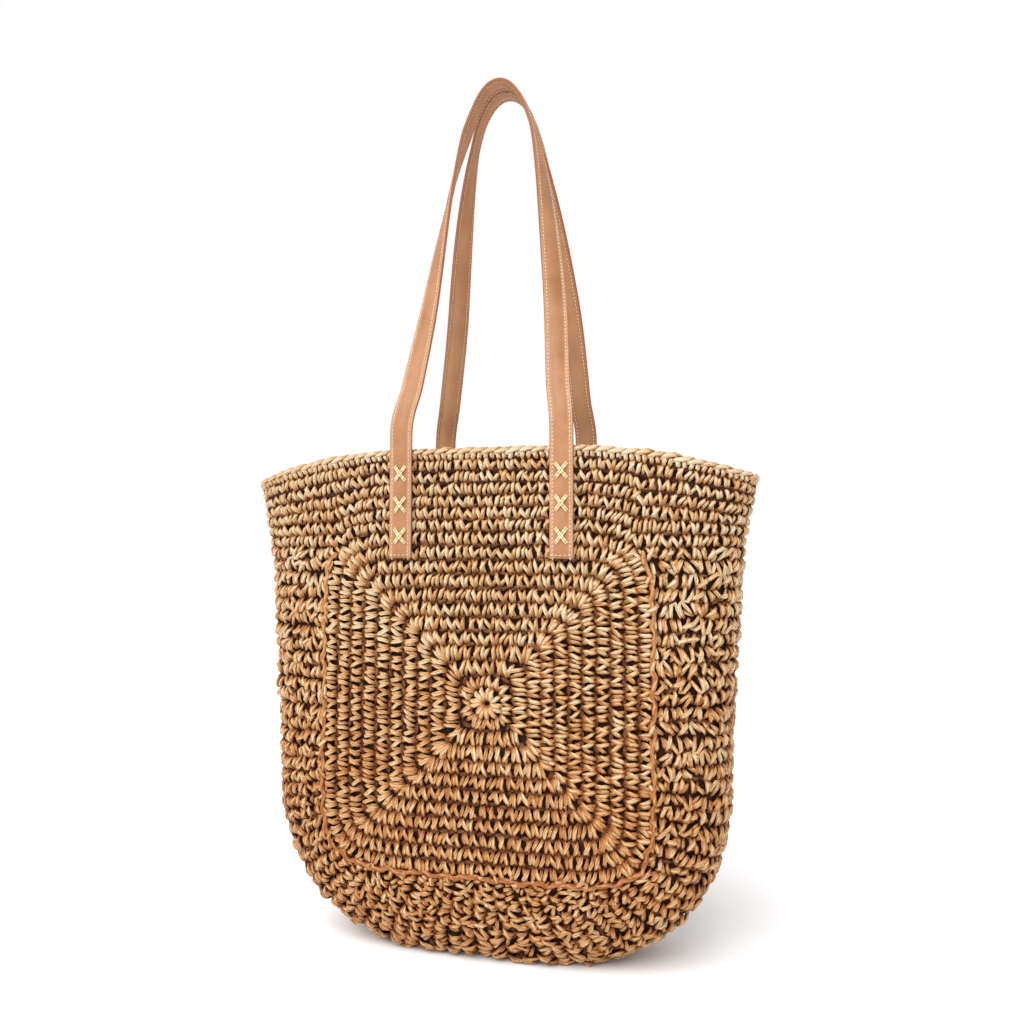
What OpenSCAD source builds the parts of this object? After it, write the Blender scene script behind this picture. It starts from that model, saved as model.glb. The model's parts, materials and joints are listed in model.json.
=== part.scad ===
// Crocheted paper-straw beach tote with two long leather handles.
// Millimetres. +Z is up, the front panel faces -Y, and the width runs along X.
// The origin is at the middle of the flat spot that the bag stands on.

/* [Bag body] */
// Height of the bag at the middle of the rim
bag_h = 388; // [340:1:440]
// Half of the width at the bottom corners
bottom_half_w = 180.5; // [160:0.5:205]
// Half of the width just under the flared mouth
upper_half_w = 195; // [170:0.5:220]
// Half of the width at the rim
mouth_half_w = 210; // [185:0.5:240]
// Half of the depth at the bottom
bottom_half_d = 56; // [46:0.5:72]
// Half of the depth at the rim
mouth_half_d = 50; // [42:0.5:66]
// Height over which the lower corners are rounded
corner_h = 150; // [130:1:175]
// How far the bottom is pressed flat by the bag's weight
bottom_flat = 8; // [5:0.5:12]
// How far the rim drops from its middle to its two ends
rim_drop = 21; // [8:1:30]
// Height over which the mouth flares out
flare_h = 110; // [70:1:130]
// Thickness of the crocheted wall
wall_t = 5; // [4:0.25:7]

/* [Crocheted panels] */
// Half of the side of each square panel
panel_half = 129; // [110:1:138]
// Height of the middle of the panels, where their rounds start
panel_z = 195; // [185:1:210]
// Gap between neighbouring crocheted pieces, hidden in the seam
seam_gap = 0.5; // [0.3:0.1:1.2]
// Radius of the chain worked along each seam
chain_r = 1.4; // [1:0.1:2]
// Height of the last round, which edges the rim
edging_h = 9; // [6:0.5:12]
// How far the edging stands proud of the wall
edging_proud = 1.2; // [0.5:0.1:2]

/* [Lining] */
// Thickness of the lining cloth
lining_t = 0.8; // [0.6:0.1:1.5]
// Gap between the lining, which hangs from its hem, and the crocheted wall
lining_gap = 3; // [2.6:0.1:4]
// Width of the slip pocket
pocket_w = 170; // [120:1:190]
// Height of the slip pocket
pocket_h = 125; // [90:1:150]
// Distance from the rim down to the pocket's top hem
pocket_below_rim = 85; // [70:1:110]
// Radius of the magnetic snap
snap_r = 9; // [7:0.5:10]
// Thickness of each half of the snap
snap_t = 2.6; // [2:0.1:4]
// Distance from the rim down to the middle of the snap
snap_below_rim = 30; // [26:1:45]

/* [Handles] */
// Width of the leather strap
strap_w = 18; // [14:0.5:24]
// Thickness of each leather layer
leather_t = 1.2; // [0.9:0.1:1.6]
// Half of the thickness of the filler at its middle
filler_half_t = 0.9; // [0.5:0.1:1.3]
// Half of the width of the filler
filler_half_w = 5.5; // [4:0.5:6]
// Distance between the two legs of a handle at the rim
strap_spacing = 126; // [100:1:160]
// How far the handle's arch rises above the rim
handle_rise = 299; // [200:1:330]
// How far the arch leans to one side
handle_lean = 4.5; // [0:0.5:8]
// Gap between the two handles where they lean together
handle_gap = 1.2; // [0.8:0.1:4]
// Length of strap that is sewn on, measured down from the rim
strap_end_l = 85; // [78:1:100]
// Distance from the rim down to the line where the handle bends
bend_below_rim = 7; // [5:0.5:9]
// Free length of strap on each side of the bend
bend_gap = 6; // [6:0.5:8]
// Gap between the strap and what it lies on
strap_clear = 0.3; // [0.2:0.05:0.6]

/* [Sewing] */
// Radius of the thread in the cross stitches
cross_r = 0.8; // [0.6:0.1:1]
// Half of the side of each cross stitch
cross_half = 4.6; // [3.5:0.1:5]
// Distance from the rim down to the first cross stitch
cross_first = 20; // [19:0.5:24]
// Distance between the cross stitches
cross_step = 24; // [18:0.5:26]
// Distance from the strap's edge to its stitching
stitch_inset = 2.4; // [1.8:0.1:3]
// Width of the edge stitching
stitch_w = 0.8; // [0.5:0.1:1.2]

/* [Hidden] */

straw = [0.78, 0.60, 0.42];
straw_dark = [0.66, 0.47, 0.30];
leather = [0.80, 0.60, 0.44];
leather_back = [0.70, 0.48, 0.32];
felt = [0.55, 0.45, 0.36];
cloth = [0.24, 0.15, 0.10];
thread = [0.92, 0.85, 0.70];
metal = [0.72, 0.66, 0.48];

section_power = 3.4;            // squareness of the bag's plan outline
corner_power = 2.6;             // squareness of its lower corners
panel_power = 7;                // squareness of the panels' own outline
round_steps = 48;               // points round a panel
panel_rings = 6;                // rings from a panel's middle to its edge
gusset_cols = 12;               // columns from a seam to the middle of the gusset
mouth_steps = 56;               // points round the mouth
edging_gap = 0.1;               // gap between the mouth band and its edging
pocket_gap = 0.4;               // gap between the lining and what is sewn to it
filler_fill = 0.88;             // share of the space between the leather layers that is filled
thread_lift = 0.12;             // gap between the edge stitching and the leather
front = -1;
back = 1;

// Depth, measured from the rim, at which the strap ends and the handles begin
end_top = bag_h - bend_below_rim - bend_gap;
bend_z = bag_h - bend_below_rim;
strap_half_t = leather_t + filler_half_t;
leg_x = strap_spacing / 2;

function clamp01(v) = min(1, max(0, v));
function smooth(v) = let (k = clamp01(v)) k * k * (3 - 2 * k);
function mix(a, b, k) = a + (b - a) * k;

// ---- Shape of the wall -------------------------------------------------------------------
// inset is how far inside the outer surface a point lies.

function half_w(z, inset = 0) =
    bottom_half_w + (upper_half_w - bottom_half_w) * clamp01((z - corner_h) / (bag_h - corner_h))
    + (mouth_half_w - upper_half_w) * pow(clamp01((z - bag_h + flare_h) / flare_h), 2) - inset;

function half_d(z, inset = 0) = mix(bottom_half_d, mouth_half_d, smooth(z / bag_h)) - inset;

// 0 on the middle line of the bag and 1 on its outline, seen from the front
function gauge(x, z, inset = 0) =
    let (down = clamp01((corner_h - z) / (corner_h + bottom_flat - inset)))
    pow(pow(abs(x) / half_w(z, inset), corner_power) + pow(down, corner_power), 1 / corner_power);

function wall_y(x, z, inset = 0) =
    half_d(z, inset) * pow(1 - pow(clamp01(gauge(x, z, inset)), section_power), 1 / section_power);

function rim_z(share) = bag_h - rim_drop * pow(clamp01((share - 0.35) / 0.65), 1.5);

// Outline of a square panel with rounded corners, as a point at an angle round its middle
function panel_edge(angle, half) =
    let (c = cos(angle), s = sin(angle))
    half / pow(pow(abs(c), panel_power) + pow(abs(s), panel_power), 1 / panel_power) * [c, s];

corner_reach = panel_edge(45, panel_half)[0];
band_side_z = panel_z + corner_reach;
// Lower edge of the mouth band: it follows the tops of the panels, then the ends of the gusset
function band_low_z(x) =
    abs(x) >= corner_reach ? band_side_z
    : panel_z + panel_half * pow(1 - pow(abs(x) / panel_half, panel_power), 1 / panel_power);

// ---- Solids from grids of points -----------------------------------------------------------

// A sheet between two grids of rows x cols points. The outer grid's rows run so that its
// faces point outwards, and the inner grid has the same layout.
module sheet(outer, inner, rows, cols, closed = false) {
    count = rows * cols;
    last_col = closed ? cols : cols - 1;
    function at(r, c) = r * cols + c % cols;
    skins = [for (r = [0:rows - 2], c = [0:last_col - 1]) each [
        [at(r, c), at(r, c + 1), at(r + 1, c + 1)], [at(r, c), at(r + 1, c + 1), at(r + 1, c)],
        [count + at(r, c + 1), count + at(r, c), count + at(r + 1, c + 1)],
        [count + at(r + 1, c + 1), count + at(r, c), count + at(r + 1, c)]]];
    row_ends = [for (c = [0:last_col - 1]) each [
        [at(0, c + 1), at(0, c), count + at(0, c)],
        [at(0, c + 1), count + at(0, c), count + at(0, c + 1)],
        [at(rows - 1, c), at(rows - 1, c + 1), count + at(rows - 1, c + 1)],
        [at(rows - 1, c), count + at(rows - 1, c + 1), count + at(rows - 1, c)]]];
    col_ends = closed ? [] : [for (r = [0:rows - 2]) each [
        [at(r, 0), at(r + 1, 0), count + at(r + 1, 0)],
        [at(r, 0), count + at(r + 1, 0), count + at(r, 0)],
        [at(r + 1, cols - 1), at(r, cols - 1), count + at(r, cols - 1)],
        [at(r + 1, cols - 1), count + at(r, cols - 1), count + at(r + 1, cols - 1)]]];
    polyhedron(concat(outer, inner), concat(skins, row_ends, col_ends));
}

// A bar swept through rings of points, each ring with the same number of corners
module swept(rings) {
    sides = len(rings[0]);
    count = len(rings);
    points = [for (ring = rings) each ring];
    walls = [for (r = [0:count - 2], s = [0:sides - 1]) each let (t = (s + 1) % sides) [
        [r * sides + s, r * sides + t, (r + 1) * sides + t],
        [r * sides + s, (r + 1) * sides + t, (r + 1) * sides + s]]];
    ends = [[for (s = [sides - 1:-1:0]) s], [for (s = [0:sides - 1]) (count - 1) * sides + s]];
    polyhedron(points, concat(walls, ends));
}

// ---- Crocheted pieces ----------------------------------------------------------------------

// One square panel on the front of the bag, worked outwards from a small hole at its middle
module square_panel(side) {
    half = panel_half - seam_gap / 2;
    function grid(inset) = [for (ring = [0:panel_rings], step = [0:round_steps - 1])
        let (p = panel_edge(-360 * step / round_steps, max(1.5, half * ring / panel_rings)),
            z = panel_z + p[1])
        [p[0], side * wall_y(p[0], z, inset), z]];
    if (side == front) sheet(grid(wall_t), grid(0), panel_rings + 1, round_steps, true);
    else sheet(grid(0), grid(wall_t), panel_rings + 1, round_steps, true);
}

module front_panel() {
    color(straw) square_panel(front);
}

module back_panel() {
    color(straw) square_panel(back);
}

// A point of the gusset: angle follows the seam round the panel, and col counts from the
// front seam (-gusset_cols) over the middle of the side (0) to the back seam
function gusset_point(angle, col, inset) =
    let (edge = panel_edge(angle, panel_half + seam_gap / 2),
        seam_z = panel_z + edge[1],
        core_z = max(corner_h, seam_z),
        start = gauge(edge[0], seam_z, inset),
        reach = mix(start, 1, sin(90 * (1 - abs(col) / gusset_cols))) / start,
        x = edge[0] * reach,
        z = core_z + (seam_z - core_z) * reach,
        shown = clamp01(start * reach),
        y = abs(col) < 0.001 ? 0
            : half_d(z, inset) * pow(1 - pow(shown, section_power), 1 / section_power))
    [x, sign(col) * y, max(z, inset)];

// The long strip between the two panels is worked in three lengths: down one side, under the
// bottom and up the other. They meet where the panels' lower corners are.
module gusset_length(from) {
    rows = round_steps / 4;
    cols = [-gusset_cols:gusset_cols];
    function grid(inset) = [for (row = [0:rows], col = cols)
        gusset_point(from + 90 * row / rows, col, inset)];
    color(straw) sheet(grid(0), grid(wall_t), rows + 1, 2 * gusset_cols + 1);
}

module gusset_left() {
    gusset_length(135);
}

module gusset_base() {
    gusset_length(225);
}

module gusset_right() {
    gusset_length(315);
}

// A point of the mouth band or of the edging above it, at a share of the way round the mouth
function mouth_point(turn, z_from, z_to, level, inset) =
    let (c = cos(turn), s = sin(turn),
        share = sign(c) * pow(abs(c), 2 / section_power),
        z = mix(z_from, z_to, level),
        x = share * (half_w(band_side_z, inset) + half_w(z) - half_w(z_from)))
    [x, sign(s) * half_d(z, inset) * pow(abs(s), 2 / section_power), z];

module mouth_band() {
    levels = 5;
    function grid(inset) = [for (level = [0:levels], step = [0:mouth_steps - 1])
        let (turn = 360 * step / mouth_steps,
            share = pow(abs(cos(turn)), 2 / section_power),
            low = band_low_z(share * half_w(band_side_z)) + seam_gap / 2)
        mouth_point(turn, low, rim_z(share) - edging_h - edging_gap, level / levels, inset)];
    color(straw) sheet(grid(wall_t), grid(0), levels + 1, mouth_steps, true);
}

// The last round of stitches stands a little proud of the band that it closes
module rim_edging() {
    swell = [0, 0.75, 1, 0.75, 0];
    levels = len(swell) - 1;
    function grid(side) = [for (level = [0:levels], step = [0:mouth_steps - 1])
        let (turn = 360 * step / mouth_steps,
            share = pow(abs(cos(turn)), 2 / section_power),
            low = band_low_z(share * half_w(band_side_z)),
            top = rim_z(share),
            share_up = (top - edging_h * (1 - level / levels) - low) / (top - low),
            proud = edging_proud * swell[level])
        mouth_point(turn, low, top, share_up, side > 0 ? -proud : wall_t + proud)];
    color(straw) sheet(grid(-1), grid(1), levels + 1, mouth_steps, true);
}

// The chain that covers the seam between a panel and the gusset
module seam_chain(side) {
    rows = round_steps * 3 / 4;
    sides = 6;
    lift = chain_r * 1.35;
    function centre(angle) = let (p = panel_edge(angle, panel_half), z = panel_z + p[1])
        [p[0], side * (wall_y(p[0], z) + lift), z];
    rings = [for (row = [0:rows])
        let (angle = 135 + 270 * row / rows, here = centre(angle),
            along = centre(angle + 1) - centre(angle - 1),
            out = [along[2], 0, -along[0]] / norm([along[2], 0, -along[0]]),
            up = cross(along, out) / norm(cross(along, out)))
        [for (s = [0:sides - 1]) here + chain_r * (cos(60 * s) * out + sin(60 * s) * up)]];
    swept(rings);
}

module front_seam_chain() {
    color(straw_dark) seam_chain(front);
}

module back_seam_chain() {
    color(straw_dark) seam_chain(back);
}

// ---- Lining --------------------------------------------------------------------------------

lining_inset = wall_t + lining_gap;
lining_top = bag_h - rim_drop - edging_h;

// A ring round the inside of the bag at a share of the lining's height
function inside_ring(level, inset) =
    let (z = mix(inset, lining_top, level),
        down = clamp01((corner_h - z) / (corner_h + bottom_flat - inset)),
        reach = half_w(z, inset) * pow(1 - pow(down, corner_power), 1 / corner_power))
    [for (step = [0:round_steps - 1])
        let (turn = 360 * step / round_steps,
            x = reach * sign(cos(turn)) * pow(abs(cos(turn)), 2 / section_power),
            y = step % (round_steps / 2) == 0 ? 0 : wall_y(x, z, inset))
        [x, sign(sin(turn)) * y, z]];

module lining() {
    levels = [0, 0.004, 0.012, 0.03, 0.06, 0.11, 0.18, 0.27, 0.38, 0.55, 0.72, 0.8, 0.87, 0.94, 1];
    rows = len(levels);
    function skin(inset) = [for (level = levels) each inside_ring(level, inset)];
    inner = lining_inset + lining_t;
    count = rows * round_steps;
    function at(r, c) = r * round_steps + c % round_steps;
    skins = [for (r = [0:rows - 2], c = [0:round_steps - 1]) each [
        [at(r, c + 1), at(r, c), at(r + 1, c + 1)], [at(r + 1, c + 1), at(r, c), at(r + 1, c)],
        [count + at(r, c), count + at(r, c + 1), count + at(r + 1, c + 1)],
        [count + at(r, c), count + at(r + 1, c + 1), count + at(r + 1, c)]]];
    hem = [for (c = [0:round_steps - 1]) each [
        [at(rows - 1, c + 1), at(rows - 1, c), count + at(rows - 1, c)],
        [at(rows - 1, c + 1), count + at(rows - 1, c), count + at(rows - 1, c + 1)]]];
    floors = [[for (c = [0:round_steps - 1]) c],
        [for (c = [round_steps - 1:-1:0]) count + c]];
    color(cloth) polyhedron(concat(skin(lining_inset), skin(inner)), concat(skins, hem, floors));
}

// The slip pocket hangs flat against the lining of the back panel
module pocket() {
    top = bag_h - pocket_below_rim;
    cols = 9;
    rows = 5;
    near = lining_inset + lining_t + pocket_gap;
    function grid(inset) = [for (row = [0:rows - 1], col = [0:cols - 1])
        let (x = pocket_w * (col / (cols - 1) - 0.5), z = top - pocket_h * row / (rows - 1))
        [x, wall_y(x, z, inset), z]];
    color(cloth) sheet(grid(near), grid(near + lining_t), rows, cols);
}

module snap_half(side, peg_l) {
    z = bag_h - snap_below_rim;
    seat = wall_y(0, z, lining_inset + lining_t + pocket_gap);
    translate([0, side * seat, z]) rotate([side * 90, 0, 0]) {
        cylinder(h = snap_t, r = snap_r, $fn = 48);
        translate([0, 0, snap_t]) cylinder(h = peg_l, r = snap_r / 2, $fn = 48);
    }
}

module snap_stud() {
    color(metal) snap_half(front, 2);
}

module snap_socket() {
    color(metal) snap_half(back, 0.6);
}

// ---- Straps --------------------------------------------------------------------------------
// A strap's cross section: across runs over its width and out runs through its thickness,
// from the backing to the face. The layers share the points where they meet.

function pad(across) = filler_half_t * max(0, 1 - pow(across / filler_half_w, 2));

strap_stops = [-strap_w / 2, -filler_half_w, -filler_half_w / 2, 0,
    filler_half_w / 2, filler_half_w, strap_w / 2];
edge_round = 0.3;
filler_section = filler_fill * concat([for (i = [1:5]) [strap_stops[i], -pad(strap_stops[i])]],
    [for (i = [4:-1:2]) [strap_stops[i], pad(strap_stops[i])]]);

function thread_section(side) =
    let (mid = side * (strap_w / 2 - stitch_inset), near = leather_t + thread_lift)
    [[mid - stitch_w / 2, near], [mid + stitch_w / 2, near],
        [mid + stitch_w / 2, near + 0.3], [mid - stitch_w / 2, near + 0.3]];

// A run is a list of frames, each an origin, the direction across and the direction out
function on_frame(frame, p) = frame[0] + frame[1] * p[0] + frame[2] * p[1];

module strap_bar(section, run) {
    swept([for (frame = run) [for (p = section) on_frame(frame, p)]]);
}

// One leather layer: the face lies on the outer side of the filler, the backing on the inner
module strap_layer(is_face, run) {
    side = is_face ? 1 : -1;
    shrink = 1 - 2 * edge_round / strap_w;
    filler_side = [for (frame = run, a = strap_stops) on_frame(frame, [a, side * pad(a)])];
    open_side = [for (frame = run, a = strap_stops)
        on_frame(frame, [a * shrink, side * (pad(a) + leather_t)])];
    if (is_face) sheet(filler_side, open_side, len(run), len(strap_stops));
    else sheet(open_side, filler_side, len(run), len(strap_stops));
}

// Middle of the strap's thickness where it lies on the front wall
function strap_y(z) =
    -(wall_y(leg_x, min(z, bag_h)) + edging_proud + strap_clear + strap_half_t);

// The sewn part of the left-hand strap, from its end up to the bend
end_run = [for (k = [0:5])
    let (z = mix(bag_h - strap_end_l, end_top, k / 5))
    [[-leg_x, strap_y(z), z], [1, 0, 0], [0, -1, 0]]];

module placed(side_x, side_y) {
    mirror([side_x > 0 ? 1 : 0, 0, 0]) mirror([0, side_y > 0 ? 1 : 0, 0]) children();
}

module strap_end_face(side_x, side_y) {
    color(leather) placed(side_x, side_y) strap_layer(true, end_run);
}

module strap_end_filler(side_x, side_y) {
    color(felt) placed(side_x, side_y) strap_bar(filler_section, end_run);
}

module strap_end_backing(side_x, side_y) {
    color(leather_back) placed(side_x, side_y) strap_layer(false, end_run);
}

// The free part of a handle. Each leg rises straight past the rim, then follows a curve to
// the top of the arch, and turns a quarter round on the way so that the straps meet edge
// to edge. way is -1 on the leg at -X, where the run starts, and 1 on the other.
straight_l = bend_below_rim + 6;
arch_y = -(strap_w + handle_gap) / 2;
leg_y = strap_y(bag_h);
arch_top = bag_h + handle_rise;
curve_base = bend_z + straight_l;
curve_h = arch_top - curve_base;
twist_start = 10;
twist_l = 0.82 * curve_h;

function bezier(a, b, c, d, t) =
    a * pow(1 - t, 3) + 3 * b * pow(1 - t, 2) * t + 3 * c * (1 - t) * t * t + d * pow(t, 3);

function curve_point(way, t) =
    let (x = bezier(leg_x, leg_x * 0.72, leg_x * 0.6, 0, t),
        up = curve_h * bezier(0, 0.46, 1, 1, t),
        lean = up / curve_h)
    [way * x + handle_lean * smooth(lean / 0.42), mix(leg_y, arch_y, min(1, 1.08 * lean)), curve_base + up];

function curve_turn(z) = 90 * pow(clamp01((z - curve_base - twist_start) / twist_l), 1.4);

function curve_frame(way, t) =
    let (here = curve_point(way, t),
        step = 0.004,
        raw = curve_point(way, min(1, t + step)) - curve_point(way, max(0, t - step)),
        along = -way * raw / norm(raw),
        turn = curve_turn(here[2]),
        wish = [-way * cos(turn), -sin(turn), 0],
        square = wish - along * (wish * along),
        across = square / norm(square))
    [here, across, cross(across, along)];

function leg_run(way) = concat(
    [for (k = [0:1]) [[way * leg_x, leg_y, bend_z + straight_l * k / 2], [-way, 0, 0], [0, -1, 0]]],
    [for (k = [0:18]) curve_frame(way, k / 19)]);

top_frame = [[handle_lean, arch_y, arch_top], [0, -1, 0], [0, 0, 1]];
right_leg = leg_run(1);
handle_run = concat(leg_run(-1), [top_frame], [for (i = [len(right_leg) - 1:-1:0]) right_leg[i]]);

module handle_face(side_y) {
    color(leather) placed(-1, side_y) strap_layer(true, handle_run);
}

module handle_filler(side_y) {
    color(felt) placed(-1, side_y) strap_bar(filler_section, handle_run);
}

module handle_backing(side_y) {
    color(leather_back) placed(-1, side_y) strap_layer(false, handle_run);
}

module handle_stitching(side_y) {
    color(thread) placed(-1, side_y)
        for (side = [-1, 1]) strap_bar(thread_section(side), handle_run);
}

// ---- Sewing on the strap ends --------------------------------------------------------------

// Three crosses hold each strap end
module cross_stitches(side_y) {
    for (side_x = [-1, 1], i = [0:2]) {
        z = bag_h - cross_first - i * cross_step;
        y = strap_y(z) - strap_half_t;
        placed(side_x, side_y) for (lean = [-1, 1])
            translate([-leg_x, y - cross_r * (2 + lean) - 0.1, z]) rotate([0, lean * 45, 0])
                cylinder(h = 2 * cross_half * sqrt(2), r = cross_r, center = true, $fn = 24);
    }
}

module front_cross_stitches() {
    color(thread) cross_stitches(front);
}

module back_cross_stitches() {
    color(thread) cross_stitches(back);
}

module end_stitching() {
    color(thread) for (side_x = [-1, 1], side_y = [-1, 1], side = [-1, 1])
        placed(side_x, side_y) strap_bar(thread_section(side), end_run);
}

front_panel();
back_panel();
gusset_left();
gusset_base();
gusset_right();
mouth_band();
rim_edging();
front_seam_chain();
back_seam_chain();
lining();
pocket();
snap_stud();
snap_socket();
strap_end_face(-1, front);  // front_left_end_face
strap_end_filler(-1, front);  // front_left_end_filler
strap_end_backing(-1, front);  // front_left_end_backing
strap_end_face(1, front);  // front_right_end_face
strap_end_filler(1, front);  // front_right_end_filler
strap_end_backing(1, front);  // front_right_end_backing
strap_end_face(-1, back);  // back_left_end_face
strap_end_filler(-1, back);  // back_left_end_filler
strap_end_backing(-1, back);  // back_left_end_backing
strap_end_face(1, back);  // back_right_end_face
strap_end_filler(1, back);  // back_right_end_filler
strap_end_backing(1, back);  // back_right_end_backing
front_cross_stitches();
back_cross_stitches();
end_stitching();
handle_face(front);  // front_handle_face
handle_filler(front);  // front_handle_filler
handle_backing(front);  // front_handle_backing
handle_stitching(front);  // front_handle_stitching
handle_face(back);  // back_handle_face
handle_filler(back);  // back_handle_filler
handle_backing(back);  // back_handle_backing
handle_stitching(back);  // back_handle_stitching
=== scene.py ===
# %% [markdown]
# # A crocheted straw beach bag
# The bag is crocheted from twisted paper straw: two square panels worked in rounds from a
# star, a long gusset between them, and a band round the mouth. Two padded leather handles
# are sewn on with crosses of waxed thread. Everything is in metres, in the bag's own frame:
# +Z is up, the front faces -Y and the bag is widest along X.

# %% Load the frame
import json
import math
import random

import bmesh
import bpy
import numpy as np
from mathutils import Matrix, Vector

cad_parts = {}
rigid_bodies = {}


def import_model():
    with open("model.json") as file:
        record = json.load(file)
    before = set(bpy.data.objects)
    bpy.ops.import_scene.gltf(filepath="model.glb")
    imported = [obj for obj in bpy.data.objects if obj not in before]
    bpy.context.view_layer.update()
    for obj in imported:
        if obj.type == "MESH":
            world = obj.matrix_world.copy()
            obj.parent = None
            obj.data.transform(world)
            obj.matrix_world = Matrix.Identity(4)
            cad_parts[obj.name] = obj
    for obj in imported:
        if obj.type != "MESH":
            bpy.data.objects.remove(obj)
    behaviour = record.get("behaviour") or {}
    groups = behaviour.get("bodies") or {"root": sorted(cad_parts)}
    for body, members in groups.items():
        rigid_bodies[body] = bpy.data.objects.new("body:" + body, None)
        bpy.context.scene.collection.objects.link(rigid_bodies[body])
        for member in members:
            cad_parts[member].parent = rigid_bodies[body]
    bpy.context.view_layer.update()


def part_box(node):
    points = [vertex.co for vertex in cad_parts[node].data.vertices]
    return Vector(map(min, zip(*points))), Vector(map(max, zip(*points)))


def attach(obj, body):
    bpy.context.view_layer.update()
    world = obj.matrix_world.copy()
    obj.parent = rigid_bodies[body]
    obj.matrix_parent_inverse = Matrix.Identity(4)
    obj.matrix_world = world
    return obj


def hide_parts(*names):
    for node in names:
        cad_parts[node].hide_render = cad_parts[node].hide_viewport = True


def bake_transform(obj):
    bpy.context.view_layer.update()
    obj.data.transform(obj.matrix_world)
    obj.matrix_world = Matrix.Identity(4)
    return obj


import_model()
scene = bpy.context.scene
MM = 0.001

# %% [markdown]
# ## The shape of the wall
# A soft bag has no straight edge, so its wall is one formula: a rounded rectangle in plan
# whose lower corners are rounded again, pressed flat where it stands. The same formula
# gives a point for every stitch, so the crochet follows the wall with no modelling by hand.

# %% Sizes of the bag
rim_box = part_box("rim_edging")
panel_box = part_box("front_panel")
bag_h = rim_box[1].z
panel_half = (panel_box[1].x - panel_box[0].x) / 2 + 0.25 * MM
panel_z = (panel_box[1].z + panel_box[0].z) / 2
bottom_half_w = 180.5 * MM
upper_half_w = 195 * MM
mouth_half_w = 210 * MM
bottom_half_d = 56 * MM
mouth_half_d = 50 * MM
corner_h = 150 * MM
bottom_flat = 8 * MM
flare_h = 110 * MM
rim_drop = 21 * MM
wall_t = 5 * MM
edging_h = 9 * MM
section_power = 3.4
corner_power = 2.6
panel_power = 7
print(f"bag {bag_h:.3f} m high, panels {2 * panel_half:.3f} m square")

# %% The wall's formula


def smooth(v):
    v = np.clip(v, 0, 1)
    return v * v * (3 - 2 * v)


def half_w(z, inset=0.0):
    up = np.clip((z - corner_h) / (bag_h - corner_h), 0, 1)
    flare = np.clip((z - bag_h + flare_h) / flare_h, 0, 1) ** 2
    return bottom_half_w + (upper_half_w - bottom_half_w) * up + (mouth_half_w - upper_half_w) * flare - inset


def half_d(z, inset=0.0):
    return bottom_half_d + (mouth_half_d - bottom_half_d) * smooth(z / bag_h) - inset


def corner_share(z, inset=0.0):
    """0 where the lower corners begin and 1 at the foot."""
    return np.clip((corner_h - z) / (corner_h + bottom_flat - inset), 0, 1)


def gauge(x, z, inset=0.0):
    """0 on the bag's middle line and 1 on its outline, seen from the front."""
    down = corner_share(z, inset)
    return ((np.abs(x) / half_w(z, inset)) ** corner_power + down**corner_power) ** (1 / corner_power)


def depth_at(share, z, inset=0.0):
    rest = 1 - np.clip(share, 0, 1) ** section_power
    return half_d(z, inset) * rest ** (1 / section_power)


def wall_y(x, z, inset=0.0):
    return depth_at(gauge(x, z, inset), z, inset)


def rim_z(share):
    """The rim is level over its middle third and drops towards both ends."""
    return bag_h - rim_drop * np.clip((share - 0.35) / 0.65, 0, 1) ** 1.5


def rounded_square(angle, half, power):
    c, s = np.cos(angle), np.sin(angle)
    reach = half / (np.abs(c) ** power + np.abs(s) ** power) ** (1 / power)
    return reach * c, reach * s


def squarish(v):
    """Turns a sine or cosine into its share of the wall's rounded rectangle in plan."""
    return np.sign(v) * np.abs(v) ** (2 / section_power)


corner_reach = float(rounded_square(math.pi / 4, panel_half, panel_power)[0])
band_side_z = panel_z + corner_reach
print(f"wall {2 * half_d(panel_z):.3f} m deep at the panel's middle")

# %% [markdown]
# ## Rows for the stitches to follow
# Crochet is rows of one stitch repeated. Each row is stored as a line of points that also
# carries two directions, along the row and out of the wall, and how wide the row is there.
# A Geometry Nodes tree then walks along the rows and sets one stitch at every step, the
# way the maker's hook does. The rows are guides only and are removed afterwards.

# %% Lines and rows


def unit(v):
    return v / np.maximum(np.linalg.norm(v, axis=-1, keepdims=True), 1e-12)


def square_to(v, along):
    """What is left of each vector without its share along a line."""
    return v - along * (v * along).sum(1, keepdims=True)


def line_along(points, closed):
    if closed:
        return unit(np.roll(points, -1, 0) - np.roll(points, 1, 0))
    return unit(np.gradient(points, axis=0))


def travel_along(points):
    """How far along a line each of its points lies."""
    return np.concatenate([[0], np.cumsum(np.linalg.norm(np.diff(points, axis=0), axis=1))])


def full_turn(count):
    return np.linspace(0, 2 * math.pi, count, endpoint=False)


def row_from(points, out, closed, width):
    """A row of stitches: its points, its direction, the wall's outward direction and its width."""
    along = line_along(points, closed)
    return {"points": points, "along": along, "out": unit(square_to(out, along)),
            "closed": closed, "width": np.broadcast_to(width, len(points))}


def front_normal(x, z, inset):
    """Outward direction of the front wall, from its slope."""
    e = 0.5 * MM
    dx = (wall_y(x + e, z, inset) - wall_y(x - e, z, inset)) / (2 * e)
    dz = (wall_y(x, z + e, inset) - wall_y(x, z - e, inset)) / (2 * e)
    return unit(np.stack([-dx, -np.ones_like(x), -dz], -1))


def half_turn(row):
    """The same row on the back of the bag."""
    flip = np.array([-1, -1, 1])
    return {**row, **{k: row[k] * flip for k in ("points", "along", "out")}}


def rolled(row, amount):
    """The same closed row begun at another point."""
    return {**row, **{k: np.roll(row[k], amount, axis=0) for k in ("points", "along", "out", "width")}}


def turned_in(row):
    """The same row seen from inside the bag, running the other way."""
    return {**row, "points": row["points"][::-1], "along": -row["along"][::-1],
            "out": -row["out"][::-1], "width": row["width"][::-1]}


# %% Meshes


def link(name, mesh, material=None):
    ob = bpy.data.objects.new(name, mesh)
    scene.collection.objects.link(ob)
    if material:
        mesh.materials.append(material)
    return ob


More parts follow.
